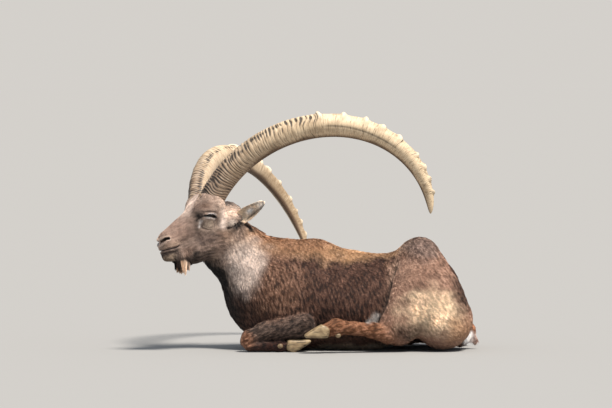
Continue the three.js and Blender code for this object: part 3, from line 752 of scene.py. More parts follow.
def mixed_face(colour, p, head):
    """The finer markings of the head"""
    f, l, u = to_head(p).T
    flank = np.abs(l)
    profile = np.stack((f, u), 1)

    def paint(code, share):
        nonlocal colour
        colour = mixed(colour, linear(code), np.clip(share * head, 0, 1))

    outer = smooth(22, 34, flank)
    nostril = line_distance(profile, NOSTRIL_LINE)[0]
    mouth = line_distance(profile, MOUTH_LINE)[0]
    along, across = lid_places(f, u)
    beside = smooth(14, 26, flank)
    bridge = smooth(34, 12, flank) * smooth(-20, 20, f) * smooth(150, 80, f) * smooth(-66, -36, u)
    paint("#dcc6b8", 0.85 * bridge)  # bridge of the nose: pale, lighter still as painted sunlight on its top
    cuff = smooth(20, 32, flank) * smooth(70, 52, f) * smooth(-62, -46, u)
    paint("#c2a897", 0.9 * cuff)  # cuff of the horn
    paint("#8a6c5a", 0.8 * outer * bell((f - 42) / 18, 1) * bell((u + 14) / 13, 1))
    paint("#9f8273", 0.7 * smooth(70, 130, f) * smooth(-110, -80, u))
    paint("#b09484", 0.75 * smooth(130, 175, f) * smooth(-120, -105, u))
    # Painted shade low on the cheek, towards the angle of the jaw
    paint("#7a6256", 0.5 * bell(f - 20, 50) * smooth(-85, -125, u) * smooth(-175, -150, u))
    paint("#54423c", 0.65 * beside * bell(f - 68, 30) * bell(u + 114, 24))  # hollow of the cheek, darkened as painted shade
    paint("#dec5b2", 0.95 * smooth(12, -12, f) * smooth(-82, -56, u))  # poll and temple
    paint("#ecd2bf", 0.8 * outer * bell(f + 70, 22) * bell(u + 60, 16))  # before the ear
    # A pale stripe on the temple, lighter still to lift the shade of the horn's cuff: partly painted light
    paint("#fbe8da", 0.9 * outer * bell(line_distance(profile, [(-16, -46), (-4, -84)])[0], 12))
    bag = np.hypot((along + 1) / 20, (across + 25) / 15)
    paint("#c4af9b", 0.9 * outer * bell(bag, 1))  # bag under the eye
    paint("#e6dcd6", 0.8 * outer * bell(line_distance(profile, [(60, -55), (66, -70)])[0], 4.5))
    bag = np.hypot((along + 1 - 0.18 * (across + 26)) / 18, (across + 25) / 14)  # its edge and a fold in it, both darkened as painted shade
    paint("#4d3b34", 0.6 * outer * bell(bag - 1.03, 0.18) * smooth(-22, -34, across - 0.5 * along))
    paint("#6d594d", 0.55 * outer * bell(bag - 0.6, 0.1) * smooth(-22, -28, across) * smooth(12, -4, along))
    paint("#3a2b24", 0.85 * outer * bell(along - 5, 22) * bell(across - 14, 2.0))  # crease of the upper lid: painted shade
    # Painted shade in the hollow in front of the eye
    paint("#150e0b", 0.97 * smooth(20, 30, flank) * bell(along - 33, 10) * bell(across - 2, 14))
    paint("#201713", 0.9 * outer * bell(line_distance(profile, TEAR_LINE)[0], 3.5))
    upper = smooth(18, 8, np.abs(along)) * smooth(3, 5, across) * smooth(11, 8, across)
    paint("#ddd2ce", 0.9 * outer * upper)  # upper lid: a painted highlight on the moist lid
    paint("#e2d6cf", 0.9 * outer * smooth(19, 8, np.abs(along - 1)) * bell(across + 6.6, 2.4))  # lower lid: a painted highlight on the moist lid
    edge = slit_edge(along)
    rim = smooth(edge + 2.8, edge + 1.0, np.abs(across)) * smooth(SLIT_HALF + 5, SLIT_HALF, np.abs(along))
    paint("#0d0907", outer * rim)  # dark rims of the lids
    paint("#d3bba8", 0.75 * smooth(172, 184, f) * bell(nostril - 8.0, 2.6))
    # Painted shade inside the nostrils
    paint("#17100d", smooth(6, 3.8, nostril) * smooth(1, 5, flank))
    paint("#a08875", 0.7 * smooth(140, 155, f) * bell(u + 99, 7))
    # Painted shade in the groove of the mouth
    paint("#120c0a", bell(mouth, 2.6) * smooth(140, 148, f))
    paint("#372c26", 0.85 * smooth(-112, -118, u) * smooth(145, 160, f))  # lower lip
    paint("#94806c", 0.8 * smooth(-124, -132, u) * smooth(165, 182, f))  # chin, made lighter to lift the lower lip's shadow: partly painted light
    paint("#6e4f3e", 0.5 * beside * bell(f - 132, 22) * bell(u + 130, 10))
    paint("#15100d", 0.85 * bell(f - 116, 22) * smooth(-130, -144, u))  # jaw behind the beard
    # Painted shade along the underside of the jaw
    paint("#3d3029", 0.8 * smooth(-140, -154, u) * smooth(20, 60, f))
    paint("#fff0e0", 0.95 * beside * bell(np.hypot((f + 39) / 15, (u + 85) / 9), 1))
    # Painted shade in the pit below the root of the ear
    paint("#0f0a08", 1.3 * beside * bell(line_distance(profile, EAR_PIT)[0], 9))
    # The ear's painted shadow in the gap behind it runs on over the neck, so it isn't held to the head's
    # share.
    by_head = beside * (np.abs(f + 70) < 60)
    gap = 1.3 * by_head * bell(line_distance(profile, EAR_GAP)[0], 8.5)
    return mixed(colour, linear("#100b09"), np.clip(gap, 0, 1))


# The coat
TUFTS = 450_000
TUFT_LIMIT = 64_000  # tufts in one piece
TUFT_ON_MAP = 0.003  # a tuft's size on the map of the skin
BLADE = [(0.0, 0.85), (0.55, 0.95), (1.0, 0.0)]  # places along a tuft, and its width there


def skin_map(p, shares, ear):
    """Place of each point on an unwrap of the skin: a tile for each part, round its axis and along it"""
    owner = shares.argmax(1)
    tiles = np.where(ear > 0, len(PARTS), np.where(ear < 0, len(PARTS) + 1, owner))
    columns = 4
    uv = np.zeros((len(p), 2))
    for tile in range(len(PARTS) + 2):
        here = tiles == tile
        if not here.any():
            continue
        own = p[here]
        start, way = tile_axis(tile)
        side = unit(np.cross(way, [0.13, 0.21, 0.97]))
        over = np.cross(side, way)
        along = (own - start) @ way
        turn = np.arctan2((own - start) @ side, (own - start) @ over) / (2 * math.pi) + 0.5
        span = along.max() - along.min()
        corner = np.array([tile % columns, tile // columns]) / columns
        local = np.stack((turn, (along - along.min()) / span), 1)
        uv[here] = corner + (0.03 + 0.94 * local) / columns
    return uv


def tile_axis(tile):
    """A point on the axis of a part, and the axis"""
    if tile >= len(PARTS):
        side = 1 if tile == len(PARTS) else -1
        along = ear_frame(side)[0]
        root = from_head([EAR_AT[0], EAR_AT[1] * side, EAR_AT[2]])
        return root, unit(along @ HEAD)
    name = PARTS[tile]
    if name == "trunk":
        return np.array([0.0, 0, 160]), np.array([1.0, 0, 0])
    if name == "neck":
        return np.array([-168.0, 0, 220]), unit(np.array([-106.0, -14, 102]))
    if name == "head":
        return from_head([0, 0, -85]), FORWARD
    balls = THIGHS[name][0] if name in THIGHS else LIMBS[name]
    first, last = np.array(balls[0][:3], float), np.array(balls[-1][:3], float)
    return first, unit(last - first)


def hair_way(p, shares, ear):
    """The way the hair points, before it is laid along the skin"""
    way = shares @ np.array([unit(np.array(COAT[name]["way"], float)) for name in PARTS])
    q = to_head(p)
    head = shares[:, PARTS.index("head")]
    down = smooth(10, 40, np.abs(q[:, 1])) * head
    way = way - UP * (0.5 * down)[:, None]
    way = way - [0, 0, 2.2] * jaw_fringe(q)[:, None] * head[:, None]
    for side in (1, -1):
        along = ear_frame(side)[0] @ HEAD
        way = np.where((ear == side)[:, None], along, way)
    drift = np.stack([ripples(p, 70, 11), ripples(p, 70, 12), ripples(p, 70, 13)], 1)
    swirl = np.stack([ripples(p, 12, 21), ripples(p, 12, 22), ripples(p, 12, 23)], 1)
    return unit(way) + 0.09 * drift + 0.06 * swirl


def jaw_fringe(q):
    """1 low on the jaw beside the beard, where longer hair hangs down"""
    return smooth(-122, -132, q[:, 2]) * smooth(108, 126, q[:, 0]) * smooth(176, 164, q[:, 0])


def hair_length(p, shares, ear):
    length = coat_value(shares, "length")
    q = to_head(p)
    head = shares[:, PARTS.index("head")]
    face = 2.6 + 8.4 * smooth(60, -70, q[:, 0]) + 2.5 * smooth(-120, -150, q[:, 2])
    length = length * (1 - head) + face * head
    fringe = bell(np.linalg.norm((q - [6, 0, 4]) / [44, 46, 26], axis=1), 1)
    length = length + (9 * fringe + 12 * jaw_fringe(q)) * head
    nape = smooth(60, 0, np.abs(p[:, 1] + 10)) * shares[:, PARTS.index("neck")] * smooth(300, 380, p[:, 2])
    length = length + 10 * nape
    return np.where(ear != 0, 7.0, length)


def bare_skin(p, shares):
    """1 where no hair grows: lids' rims, nostrils and lips"""
    q = to_head(p)
    profile = q[:, [0, 2]]
    head = shares[:, PARTS.index("head")]
    nostril = line_distance(profile, NOSTRIL_LINE)[0]
    mouth = line_distance(profile, MOUTH_LINE)[0]
    bare = smooth(8, 5.5, nostril) + smooth(4.0, 2.2, mouth) * smooth(138, 148, q[:, 0])
    nose = bell(np.linalg.norm((q - [206, 0, -90]) / [12, 9, 11], axis=1), 1)
    mirrored = q * np.stack((np.ones(len(q)), np.sign(q[:, 1]), np.ones(len(q))), 1)
    along, across = lid_places(q[:, 0], q[:, 2])
    by_eye = np.linalg.norm(mirrored - EYE_AT, axis=1) < EYE_RADIUS + 12
    edge = slit_edge(along)
    lids = smooth(SLIT_HALF + 6, SLIT_HALF, np.abs(along)) * smooth(edge + 3.2, edge + 1.4, np.abs(across))
    lids = by_eye * lids
    return np.clip((bare + nose + lids) * head, 0, 1)


def blade_edges(spine, across, half):
    """Both edges of the blades at one place along them, or their one point where they end"""
    if not half.any():
        return [spine]
    return [spine - across * half[:, None], spine + across * half[:, None]]


def make_coat(skin, ear):
    rng = np.random.default_rng(7)
    mesh = skin.data
    p, normal = points_of(mesh), normals_of(mesh)
    shares = part_shares(p)
    mesh.calc_loop_triangles()
    corners = np.empty(len(mesh.loop_triangles) * 3, np.int32)
    mesh.loop_triangles.foreach_get("vertices", corners)
    corners = corners.reshape(-1, 3)
    a, b, c = p[corners[:, 0]], p[corners[:, 1]], p[corners[:, 2]]
    area = np.linalg.norm(np.cross(b - a, c - a), axis=1) / 2
    dense = coat_value(shares, "dense")
    face_share = shares[:, PARTS.index("head")] * smooth(-70, 60, to_head(p)[:, 0])
    dense = dense * (1 + 1.2 * face_share)
    dense = np.where(ear != 0, 2.6, dense)
    under = smooth(0.2, -0.7, normal[:, 2]) * smooth(90, 30, p[:, 2])
    dense = dense * (1 - 0.75 * under) * (1 - bare_skin(p, shares))
    weight = area * dense[corners].mean(1)
    pick = np.sort(rng.choice(len(corners), TUFTS, p=weight / weight.sum()))
    mix = rng.random((TUFTS, 2))
    flip = mix.sum(1) > 1
    mix[flip] = 1 - mix[flip]
    mix = np.stack((1 - mix.sum(1), mix[:, 0], mix[:, 1]), 1)[:, :, None]
    chosen = corners[pick]
    root = (p[chosen] * mix).sum(1)
    out = unit((normal[chosen] * mix).sum(1))
    ear_root = ear[chosen[:, 0]]
    root_shares = part_shares(root)

    way = hair_way(root, root_shares, ear_root) + rng.normal(0, 0.10, root.shape)
    way = unit(way - (way * out).sum(1)[:, None] * out)
    length = hair_length(root, root_shares, ear_root) * rng.uniform(0.7, 1.25, TUFTS)
    lift = np.radians(coat_value(root_shares, "lift"))
    lift = lift * (1 + 0.35 * ripples(root, 22, 31)) + rng.normal(0, 0.06, TUFTS)
    half = 0.5 * (0.55 + 0.055 * length) * rng.uniform(0.7, 1.3, TUFTS)

    across = np.cross(out, way)
    roll = rng.normal(0, 0.5, TUFTS)[:, None]
    across = across * np.cos(roll) + out * np.sin(roll)
    bend = rng.normal(0, 0.10, TUFTS)[:, None]
    points = []
    for t, wide in BLADE:
        rise = np.sin(lift) * (t - 0.42 * t * t)
        ahead = np.cos(lift) * t
        run = way * ahead[:, None] + out * rise[:, None] + np.cross(out, way) * bend * t * t
        spine = root + length[:, None] * run
        spine -= out * (0.6 * (t == 0))  # roots start under the skin
        points += blade_edges(spine, across, half * wide)
    points = np.stack(points, 1)
    points[:, :, 2] = np.maximum(points[:, :, 2], 0.4)

    colour = markings(root, root_shares)
    colour = ear_colour(colour, root, ear_root)
    uv = skin_map(root, root_shares, ear_root)
    contrast = coat_contrast(root, root_shares, colour)
    shade = 1 + contrast * np.tanh(1.1 * coat_grain(root, root_shares))
    shade = shade * np.exp(rng.normal(0, 0.5, TUFTS) * contrast) * np.exp(0.10 * ripples(root, 50, 41))
    colour = bleached(colour * shade[:, None], shade)
    group = np.where(ear_root != 0, PARTS.index("head"), root_shares.argmax(1))
    return split_coat(points, colour, uv, group)


def bleached(colour, shade):
    """The lighter a tuft than its surroundings, the less colour it has"""
    straw = linear("#cdb8a4")
    straw = straw / (straw @ BRIGHTNESS)
    grey = straw * (colour @ BRIGHTNESS)[:, None]
    return colour + (grey - colour) * (0.35 * smooth(0.9, 1.8, shade))[:, None]


def coat_contrast(p, shares, colour):
    """How much light and dark tufts differ: most in the dark parts of the coat, least on the face"""
    contrast = 0.26 + 0.56 * smooth(0.28, 0.03, colour @ BRIGHTNESS)
    face = smooth(-80, 0, to_head(p)[:, 0]) * shares[:, PARTS.index("head")]
    return contrast * (1 - 0.3 * face)


def coat_grain(p, shares):
    """Light and dark streaks that follow the hair, as where tufts part; about -2 to 2"""
    grain = np.zeros(len(p))
    for i, name in enumerate(PARTS):
        here = shares[:, i] > 0.02
        own = p[here]
        way = unit(np.array(COAT[name]["way"], float))
        drawn_out = own - 0.62 * way * (own @ way)[:, None]
        streaks = ripples(drawn_out, 7.4, 42) + ripples(drawn_out, 10.5, 43)
        grain[here] += shares[here, i] * streaks / 1.4
    return grain


COAT_GROUPS = {
    "head": ["head"],
    "neck": ["neck"],
    "trunk": ["trunk"],
    "thighs": ["thigh_left", "thigh_right"],
    "legs": list(LIMBS),
}


def split_coat(points, colour, uv, group):
    pieces = []
    for title, names in COAT_GROUPS.items():
        member = np.isin(group, [PARTS.index(name) for name in names])
        ids = np.flatnonzero(member)
        count = max(1, math.ceil(len(ids) / TUFT_LIMIT))
        for n, own in enumerate(np.array_split(ids, count), 1):
            name = f"coat_{title}_{n}"
            pieces.append(tuft_object(name, points[own], colour[own], uv[own]))
    return pieces


def tuft_object(name, points, colour, uv):
    """Joined blades of five points and two faces each, with their colours and their map"""
    count, each = points.shape[:2]
    mesh = bpy.data.meshes.new(name)
    mesh.vertices.add(count * each)
    mesh.vertices.foreach_set("co", (points.reshape(-1, 3) * MM).astype(np.float32).ravel())
    blade = np.array([0, 1, 3, 2, 2, 3, 4])
    sizes = np.array([4, 3])
    loops = (np.arange(count)[:, None] * each + blade).ravel()
    mesh.loops.add(len(loops))
    mesh.loops.foreach_set("vertex_index", loops.astype(np.int32))
    totals = np.tile(sizes, count)
    starts = np.concatenate(([0], np.cumsum(totals)[:-1]))
    mesh.polygons.add(len(totals))
    mesh.polygons.foreach_set("loop_start", starts.astype(np.int32))
    mesh.update(calc_edges=True)
    mesh.shade_smooth()
    tones = np.ones((count, each, 4))
    tones[:, :, :3] = colour[:, None, :]
    store(mesh, "coat_colour", "FLOAT_COLOR", tones)
    store(mesh, "along", "FLOAT", np.tile([0, 0, 0.55, 0.55, 1.0], count))
    layer = mesh.uv_layers.new(name="OFBake")
    spot = np.array([[0, 0], [1, 0], [0, 0.55], [1, 0.55], [0.5, 1]]) - 0.5
    corner = uv[:, None, :] + spot[blade][None] * TUFT_ON_MAP
    layer.data.foreach_set("uv", corner.astype(np.float32).ravel())
    return add_object(name, mesh)


def ear_colour(colour, p, ear):
    """Tan, with a dark lower edge, pale hairs inside and a pale tip; all painted lighter to lift the shade on
    the ear's lower side, so partly painted light
    """
    for side in (1, -1):
        along, opening, across = (v @ HEAD for v in ear_frame(side))
        root = from_head([EAR_AT[0], EAR_AT[1] * side, EAR_AT[2]])
        t = (p - root) @ along / EAR_LENGTH
        inner = smooth(-7, 1, (p - root) @ opening + 9 * (1 - t))
        over = (p - root) @ across
        back = np.tile(linear("#f0d6b8"), (len(p), 1))
        front = np.tile(linear("#ffe8cc"), (len(p), 1))
        front = mixed(front, linear("#d6c0a8"), 0.7 * smooth(0.25, 0.45, t))
        own = back + (front - back) * inner[:, None]
        own = mixed(own, linear("#ffffff"), 0.95 * bell(over + 1, 9) * bell(t - 0.44, 0.14))
        own = mixed(own, linear("#fff6ea"), smooth(0.60, 0.82, t))
        own = mixed(own, linear("#4a382c"), 0.75 * bell(over - 17 * (1 - 0.4 * t), 4) * smooth(0.1, 0.3, t))
        colour = np.where((ear == side)[:, None], np.clip(own, 0, 1), colour)
    return colour


def colour_skin(skin, ear):
    p = points_of(skin.data)
    shares = part_shares(p)
    colour = ear_colour(markings(p, shares), p, ear)
    store(skin.data, "coat_colour", "FLOAT_COLOR", np.hstack((colour, np.ones((len(p), 1)))))
    store(skin.data, "bare", "FLOAT", bare_skin(p, shares) * (ear == 0))


# Horns
HORN_LENGTH = 932.0  # along the curve
HORN_FRONT_RADIUS = 39.5  # from the middle to the front, at the base
HORN_SIDE_SHARE = 0.8  # width of a horn as a share of its depth
HORN_SPACING = 41.0  # from the middle of the head to the middle of a horn
HORN_LEAN = 7.4  # degrees that the plane of the curve leans outward
HORN_SPLAY = 33.3  # degrees that the horns sweep apart
HORN_START = 41.2  # degrees that the base leans back
HORN_BEND = [2.589, -2.549, 4.094]  # radians for the whole length: steady, growing and square part
HORN_ROOT = 24.0  # length buried in the head
KNOBS = [0.465, 0.54, 0.61, 0.665, 0.73, 0.80, 0.845, 0.89, 0.932]  # as shares of the horn's length
KNOB_HALF = 7.5  # half the length of a knob along the horn
CROWDED = 0.46  # rings crowd on the horn up to this share of its length
LINE_STEP = 2.6  # growth lines follow each other this closely along the horn
LINE_WIDTH = 30.0  # and run on this far round it
HORN_GIRTH = 40.0  # radius at which patterns run round the horn


def horn_curve(side, steps=800):
    """Points of the horn's middle line with its tangent and the way to its front"""
    lean, splay = math.radians(HORN_LEAN), math.radians(HORN_SPLAY)
    up = np.array([0, math.sin(lean) * side, math.cos(lean)])
    back = np.array([-math.cos(splay), math.sin(splay) * side, 0])
    s = np.linspace(0, 1, steps + 1)
    bend = HORN_BEND[0] * s + HORN_BEND[1] * s**2 / 2 + HORN_BEND[2] * s**3 / 3
    angle = math.radians(HORN_START) + bend
    tangent = unit(up * np.cos(angle)[:, None] + back * np.sin(angle)[:, None])
    front = up * np.sin(angle)[:, None] - back * np.cos(angle)[:, None]
    front = unit(front - (front * tangent).sum(1)[:, None] * tangent)
    step = tangent * HORN_LENGTH / steps
    point = np.array([0, HORN_SPACING * side, 0]) + np.concatenate(([[0, 0, 0]], np.cumsum(step[:-1], 0)))
    return s, point, tangent, front


def horn_rings(rng):
    """Crevices across the horn: place along it in mm, depth, half width and how dark each is"""
    marks = []
    place = 6.0
    while place < CROWDED * HORN_LENGTH:
        t = place / HORN_LENGTH
        depth = rng.uniform(0.5, 1.0) * (3.6 - 5.6 * t)
        marks.append((place, depth, rng.uniform(1.3, 2.2), rng.uniform(0.7, 1.0)))
        place += rng.uniform(5.0, 11.0) + 14 * t
    place = 0.17 * HORN_LENGTH
    while place < 0.95 * HORN_LENGTH:
        marks.append((place, rng.uniform(0.3, 0.8), 1.0, rng.uniform(0.35, 1.0)))
        place += rng.uniform(16, 36)
    place = 0.86 * HORN_LENGTH
    while place < 0.985 * HORN_LENGTH:
        marks.append((place, 0.7, 1.3, 0.5))
        place += rng.uniform(5, 8)
    return marks


def horn_piece(side, rings=760, around=64):
    """A horn with crowded rings at its base, cracks further out and knobs on its front"""
    title = "left" if side > 0 else "right"
    rng = np.random.default_rng(100 + side)
    s_curve, point, tangent, front = horn_curve(side)
    s = np.linspace(-HORN_ROOT / HORN_LENGTH, 1, rings)
    pick = lambda table: np.stack([np.interp(np.clip(s, 0, 1), s_curve, table[:, i]) for i in range(3)], 1)
    centre, along, ahead = pick(point), unit(pick(tangent)), unit(pick(front))
    centre = centre + along * (np.minimum(s, 0) * HORN_LENGTH)[:, None]
    across = np.cross(along, ahead)
    radius = HORN_FRONT_RADIUS * np.sqrt(np.maximum(1 - np.maximum(s, 0) ** 2.6, 0.0022))

    angle = np.linspace(0, 2 * math.pi, around, endpoint=False)
    grid_s, grid_a = np.meshgrid(s, angle, indexing="ij")
    share = np.clip(grid_s, 0, 1)
    mm = grid_s * HORN_LENGTH
    forward, sideways = np.cos(grid_a), np.sin(grid_a)
    inward = -side * np.sign(across[:, 1].mean())  # the inner face is where sideways has this sign
    b = np.degrees(np.arctan2(sideways * inward, forward))  # 0 at the front, positive on the inner face

    # How strongly the rings are cut round the horn: the inner face is rubbed smooth
    front_face = smooth(72, 48, b) * smooth(-95, -55, b)
    outer_face = smooth(-50, -80, b) * smooth(-179, -160, b)
    edges = bell(b + 32, 24) + bell(b - 50, 14)
    cut = 0.10 + 0.9 * front_face + 0.55 * outer_face
    spot = np.stack((mm, HORN_GIRTH * forward, HORN_GIRTH * sideways), -1).reshape(-1, 3)
    wobble = ripples(spot, 70, 60 + side).reshape(mm.shape)
    patchy = ripples(spot, 24, 70 + side).reshape(mm.shape)
    bowed = mm + 3.2 * wobble + 6 * bell(b + 80, 50) - 9 * sideways * inward * smooth(0.75, 0.95, share)
    groove = np.zeros_like(mm)
    crevice = np.zeros_like(mm)
    for place, depth, width, dark in horn_rings(rng):
        near = np.abs(s * HORN_LENGTH - place) < 30
        gap = bowed[near] - place
        crowd = 1 if place < CROWDED * HORN_LENGTH else 0.5
        wide = width * (1 + 0.9 * edges[near] * crowd)
        here = cut[near] * (1 + 0.8 * edges[near] * crowd)
        groove[near] += depth * here * bell(gap, wide * 1.3)
        fade = np.clip(0.9 - 0.3 * share[near] + 0.4 * patchy[near], 0.15, 1.3)
        crevice[near] = np.maximum(crevice[near], dark * fade * here * bell(gap, wide))
    crevice *= 1 - 0.2 * smooth(0.1, 0.4, share)

    # Worn knobs, and shallow arcs between them
    knob = np.zeros_like(mm)
    over = smooth(-62, -22, b) * smooth(108, 66, b)
    for at in KNOBS:
        size = 9.0 * rng.uniform(0.8, 1.1) * (1.12 - 0.45 * at)
        gap = mm - at * HORN_LENGTH + 3 * wobble
        knob += size * over * (1 + 0.35 * bell(b - 60, 30)) * np.exp(-((np.abs(gap) / KNOB_HALF) ** 2.6))
        knob -= 1.6 * over * bell(gap - 26, 14) * smooth(0.98, 0.9, share)

    # A long crack on the outer face
    split_at = -96 + 5 * np.sin(mm / 60)
    crack = bell((b - split_at) * 0.6, 3.2) * smooth(0.45, 0.5, share) * smooth(0.78, 0.7, share)

    rim = 0.9 + 0.16 * forward
    squared = 1 + 0.035 * np.cos(4 * grid_a)
    depth = radius[:, None] * squared + knob - groove - 1.2 * crack - 0.4
    places = (
        centre[:, None]
        + ahead[:, None] * (depth * forward)[..., None]
        + across[:, None] * (HORN_SIDE_SHARE * rim * (depth - 0.25 * knob) * sideways)[..., None]
    )
    piece = mesh_object(f"horn_detail_{title}", from_head(places.reshape(-1, 3)), loft_faces(rings, around))
    # The keel is darkened in the material: partly the horn's own tone, partly painted shade on its underside
    keel = smooth(128, 158, np.abs(b) + 4 * wobble) * smooth(0.10, 0.24, share)
    for name, value in (
        ("reach", share),
        ("crevice", np.clip(crevice + 0.6 * crack, 0, 1)),
        ("knob", np.clip(knob / 7, 0, 1)),
        ("keel", keel),
        ("inner", smooth(40, 80, b)),
        # the inner face, darker far from the head: painted shade
        ("inner_shade", smooth(40, 80, b) * smooth(0.5, 0.72, share)),
    ):
        store(piece.data, name, "FLOAT", value)
    # Growth lines: places along and round the horn, for the pattern of the material
    turns = HORN_GIRTH / LINE_WIDTH
    lines = np.stack((mm / LINE_STEP, forward * turns, sideways * turns), -1)
    store(piece.data, "growth", "FLOAT_VECTOR", lines)
    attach(piece, "root")
    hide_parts(f"horn_{title}")
    return piece


# Eyes: the ball with a low cornea in front


def eye_piece(side):
    title = "left" if side > 0 else "right"
    rings, around = 40, 48
    ring = np.linspace(0, math.pi, rings + 2)[1:-1]
    turn = np.linspace(0, 2 * math.pi, around, endpoint=False)
    cornea_radius = 9.5
    local = np.stack(
        (
            np.sin(ring)[:, None] * np.cos(turn),
            np.cos(ring)[:, None] * np.ones(around),
            np.sin(ring)[:, None] * np.sin(turn),
        ),
        -1,
    )
    bulge = 1 + 0.06 * smooth(cornea_radius / EYE_RADIUS, 0.1, np.sin(ring)) * (np.cos(ring) > 0)
    local = local * bulge[:, None, None] * EYE_RADIUS
    local[:, :, 1] *= side
    centre = EYE_AT * [1, side, 1]
    places = from_head((local + centre).reshape(-1, 3))
    faces = loft_faces(rings, around)
    if side > 0:
        faces = [f[::-1] for f in faces]
    piece = mesh_object(f"eyeball_{title}", places, faces)
    away = np.sin(ring)[:, None] * np.ones(around) * np.where(np.cos(ring) > 0, 1, 9)[:, None]
    flat = np.abs(local[:, :, 2]) / 2.2 + np.abs(local[:, :, 0]) / 6.5
    store(piece.data, "iris", "FLOAT", smooth(0.66, 0.60, away))
    store(piece.data, "pupil", "FLOAT", smooth(1.1, 0.9, flat) * (away < 0.6))
    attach(piece, "root")
    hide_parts(f"eye_{title}")
    return piece


# Hooves: the frame's claws, rounded off
HOOF_GAP = 0.3  # the hooves stay this far above the floor
HOOF_SWELL = 1.8  # makes up for what the rounding takes off


def hoof_piece(node, voxel):
    piece = add_object(f"{node}_hoof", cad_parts[node].data.copy())
    remesh = piece.modifiers.new("even", "REMESH")
    remesh.mode = "VOXEL"
    remesh.voxel_size = voxel * MM
    rounding = piece.modifiers.new("round", "SMOOTH")
    rounding.iterations = 60
    rounding.factor = 0.7
    swell = piece.modifiers.new("swell", "DISPLACE")
    swell.mid_level = 0
    swell.strength = HOOF_SWELL * MM
    settled = piece.evaluated_get(bpy.context.evaluated_depsgraph_get())
    mesh = bpy.data.meshes.new_from_object(settled)
    piece.modifiers.clear()
    piece.data = mesh
    places = points_of(mesh)
    places[:, 2] = np.maximum(places[:, 2], HOOF_GAP)
    place_points(mesh, places)
    mesh.shade_smooth()
    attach(piece, "root")
    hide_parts(node)
    return piece


# Beard: long locks that hang straight down from the chin, dark in front
BEARD_HAIRS = 9000
BEARD_LOCKS = 26
BEARD_ROOT = np.array([-424.0, -138, 298])
BEARD_DROP = 66.0  # about the length of the longest hairs
ROOT_SPREAD = (30.0, 14.0)  # half length along the jaw and across it, at the roots
TIP_SPREAD = (28.0, 21.0)  # the same at the tips
BEARD_COLOURS = ["#120a07", "#34221a", "#b08a68", "#e2c8b0", "#cbb09c", "#b39c8b"]  # from front to back; the paler ones are lighter still to lift the jaw's shadow: partly painted light


def make_beard():
    rng = np.random.default_rng(17)
    jaw_line = unit(np.array([0.82, 0.57, 0]))
    across = np.array([-0.57, 0.82, 0])
    radius = np.sqrt(rng.random(BEARD_HAIRS))
    turn = rng.uniform(0, 2 * math.pi, BEARD_HAIRS)
    place = np.stack((radius * np.cos(turn), radius * np.sin(turn)), 1)
    lock_radius = np.sqrt(rng.random(BEARD_LOCKS))
    lock_turn = rng.uniform(0, 2 * math.pi, BEARD_LOCKS)
    locks = np.stack((lock_radius * np.cos(lock_turn), lock_radius * np.sin(lock_turn)), 1)
    lock = np.linalg.norm(place[:, None] - locks[None], axis=2).argmin(1)
    tip = place + (locks[lock] - place) * 0.6
    tip[:, 0] = tip[:, 0] * 0.92 - 0.03
    on_jaw = lambda spot, spread: spot[:, :1] * spread[0] * jaw_line + spot[:, 1:] * spread[1] * across
    root = BEARD_ROOT + on_jaw(place, ROOT_SPREAD)
    root[:, 2] += 4 + 6 * (1 - radius**2) - 4 * place[:, 0]
    goal = BEARD_ROOT + on_jaw(tip, TIP_SPREAD)
    long_way = locks[lock, 0]
    length = BEARD_DROP * (0.98 - 0.10 * smooth(0, -1, long_way) - 0.30 * smooth(0.1, 1, long_way))
    length *= rng.uniform(0.8, 1.0, BEARD_HAIRS) * rng.uniform(0.86, 1.04, BEARD_LOCKS)[lock]
    half = rng.uniform(0.6, 1.2, BEARD_HAIRS)
    spin = rng.uniform(0, math.pi, BEARD_HAIRS)[:, None]
    broad = jaw_line * np.cos(spin) + across * np.sin(spin)
    points = []
    for t, wide in BLADE:
        spine = root + (goal - root) * [1, 1, 0] * t**1.3
        spine = spine + np.array([0.03, -0.02, -1.0]) * (length * t)[:, None]
        spine = spine + rng.normal(0, 0.6, spine.shape) * t
        points += blade_edges(spine, broad, half * wide)
    points = np.stack(points, 1)
    tones = np.array([linear(code) for code in BEARD_COLOURS])
    stop = np.clip((long_way + 1) / 2 + rng.normal(0, 0.13, BEARD_LOCKS)[lock], 0, 1)
    colour = np.stack([np.interp(stop, np.linspace(0, 1, len(tones)), tones[:, i]) for i in range(3)], 1)
    colour = colour * rng.uniform(0.5, 1.6, BEARD_HAIRS)[:, None]
    uv = np.stack((0.80 + 0.1 * place[:, 0], 0.85 + 0.1 * place[:, 1]), 1)
    piece = tuft_object("beard_locks", points, colour, uv)
    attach(piece, "root")
    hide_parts("beard")
    return piece


# Materials


def new_material(name):
    material = bpy.data.materials.new(name)
    material.use_nodes = True
    tree = material.node_tree
    return material, tree, tree.nodes["Principled BSDF"]


def add(tree, kind, settings=None, links=None):
    """Adds a node. Settings are its properties or input values, links are outputs to join to its inputs;
    an input goes by its name or its number."""
    node = tree.nodes.new(kind)
    for key, value in (settings or {}).items():
        if isinstance(key, str) and hasattr(node, key):
            setattr(node, key, value)
        else:
            node.inputs[key].default_value = value
    for key, source in (links or {}).items():
        tree.links.new(source, node.inputs[key])
    return node


def rgba(code):
    return (*linear(code), 1.0)


def per_metre(size):
    """Scale of a pattern from its real size in millimetres"""
    return 1000 / size


def start_surface(name, *marks):
    """A new material, with the place on the piece and the marks that the pieces keep on their points"""
    material, tree, shader = new_material(name)
    place = {"Vector": add(tree, "ShaderNodeTexCoord").outputs["Object"]}
    kept = {}
    for mark in marks:
        kept[mark] = add(tree, "ShaderNodeAttribute", {"attribute_name": mark}).outputs
    return material, tree, shader, place, kept


def ranged(low, high, least, most):
    """Settings that turn low..high into least..most"""
    return {"From Min": low, "From Max": high, "To Min": least, "To Max": most}


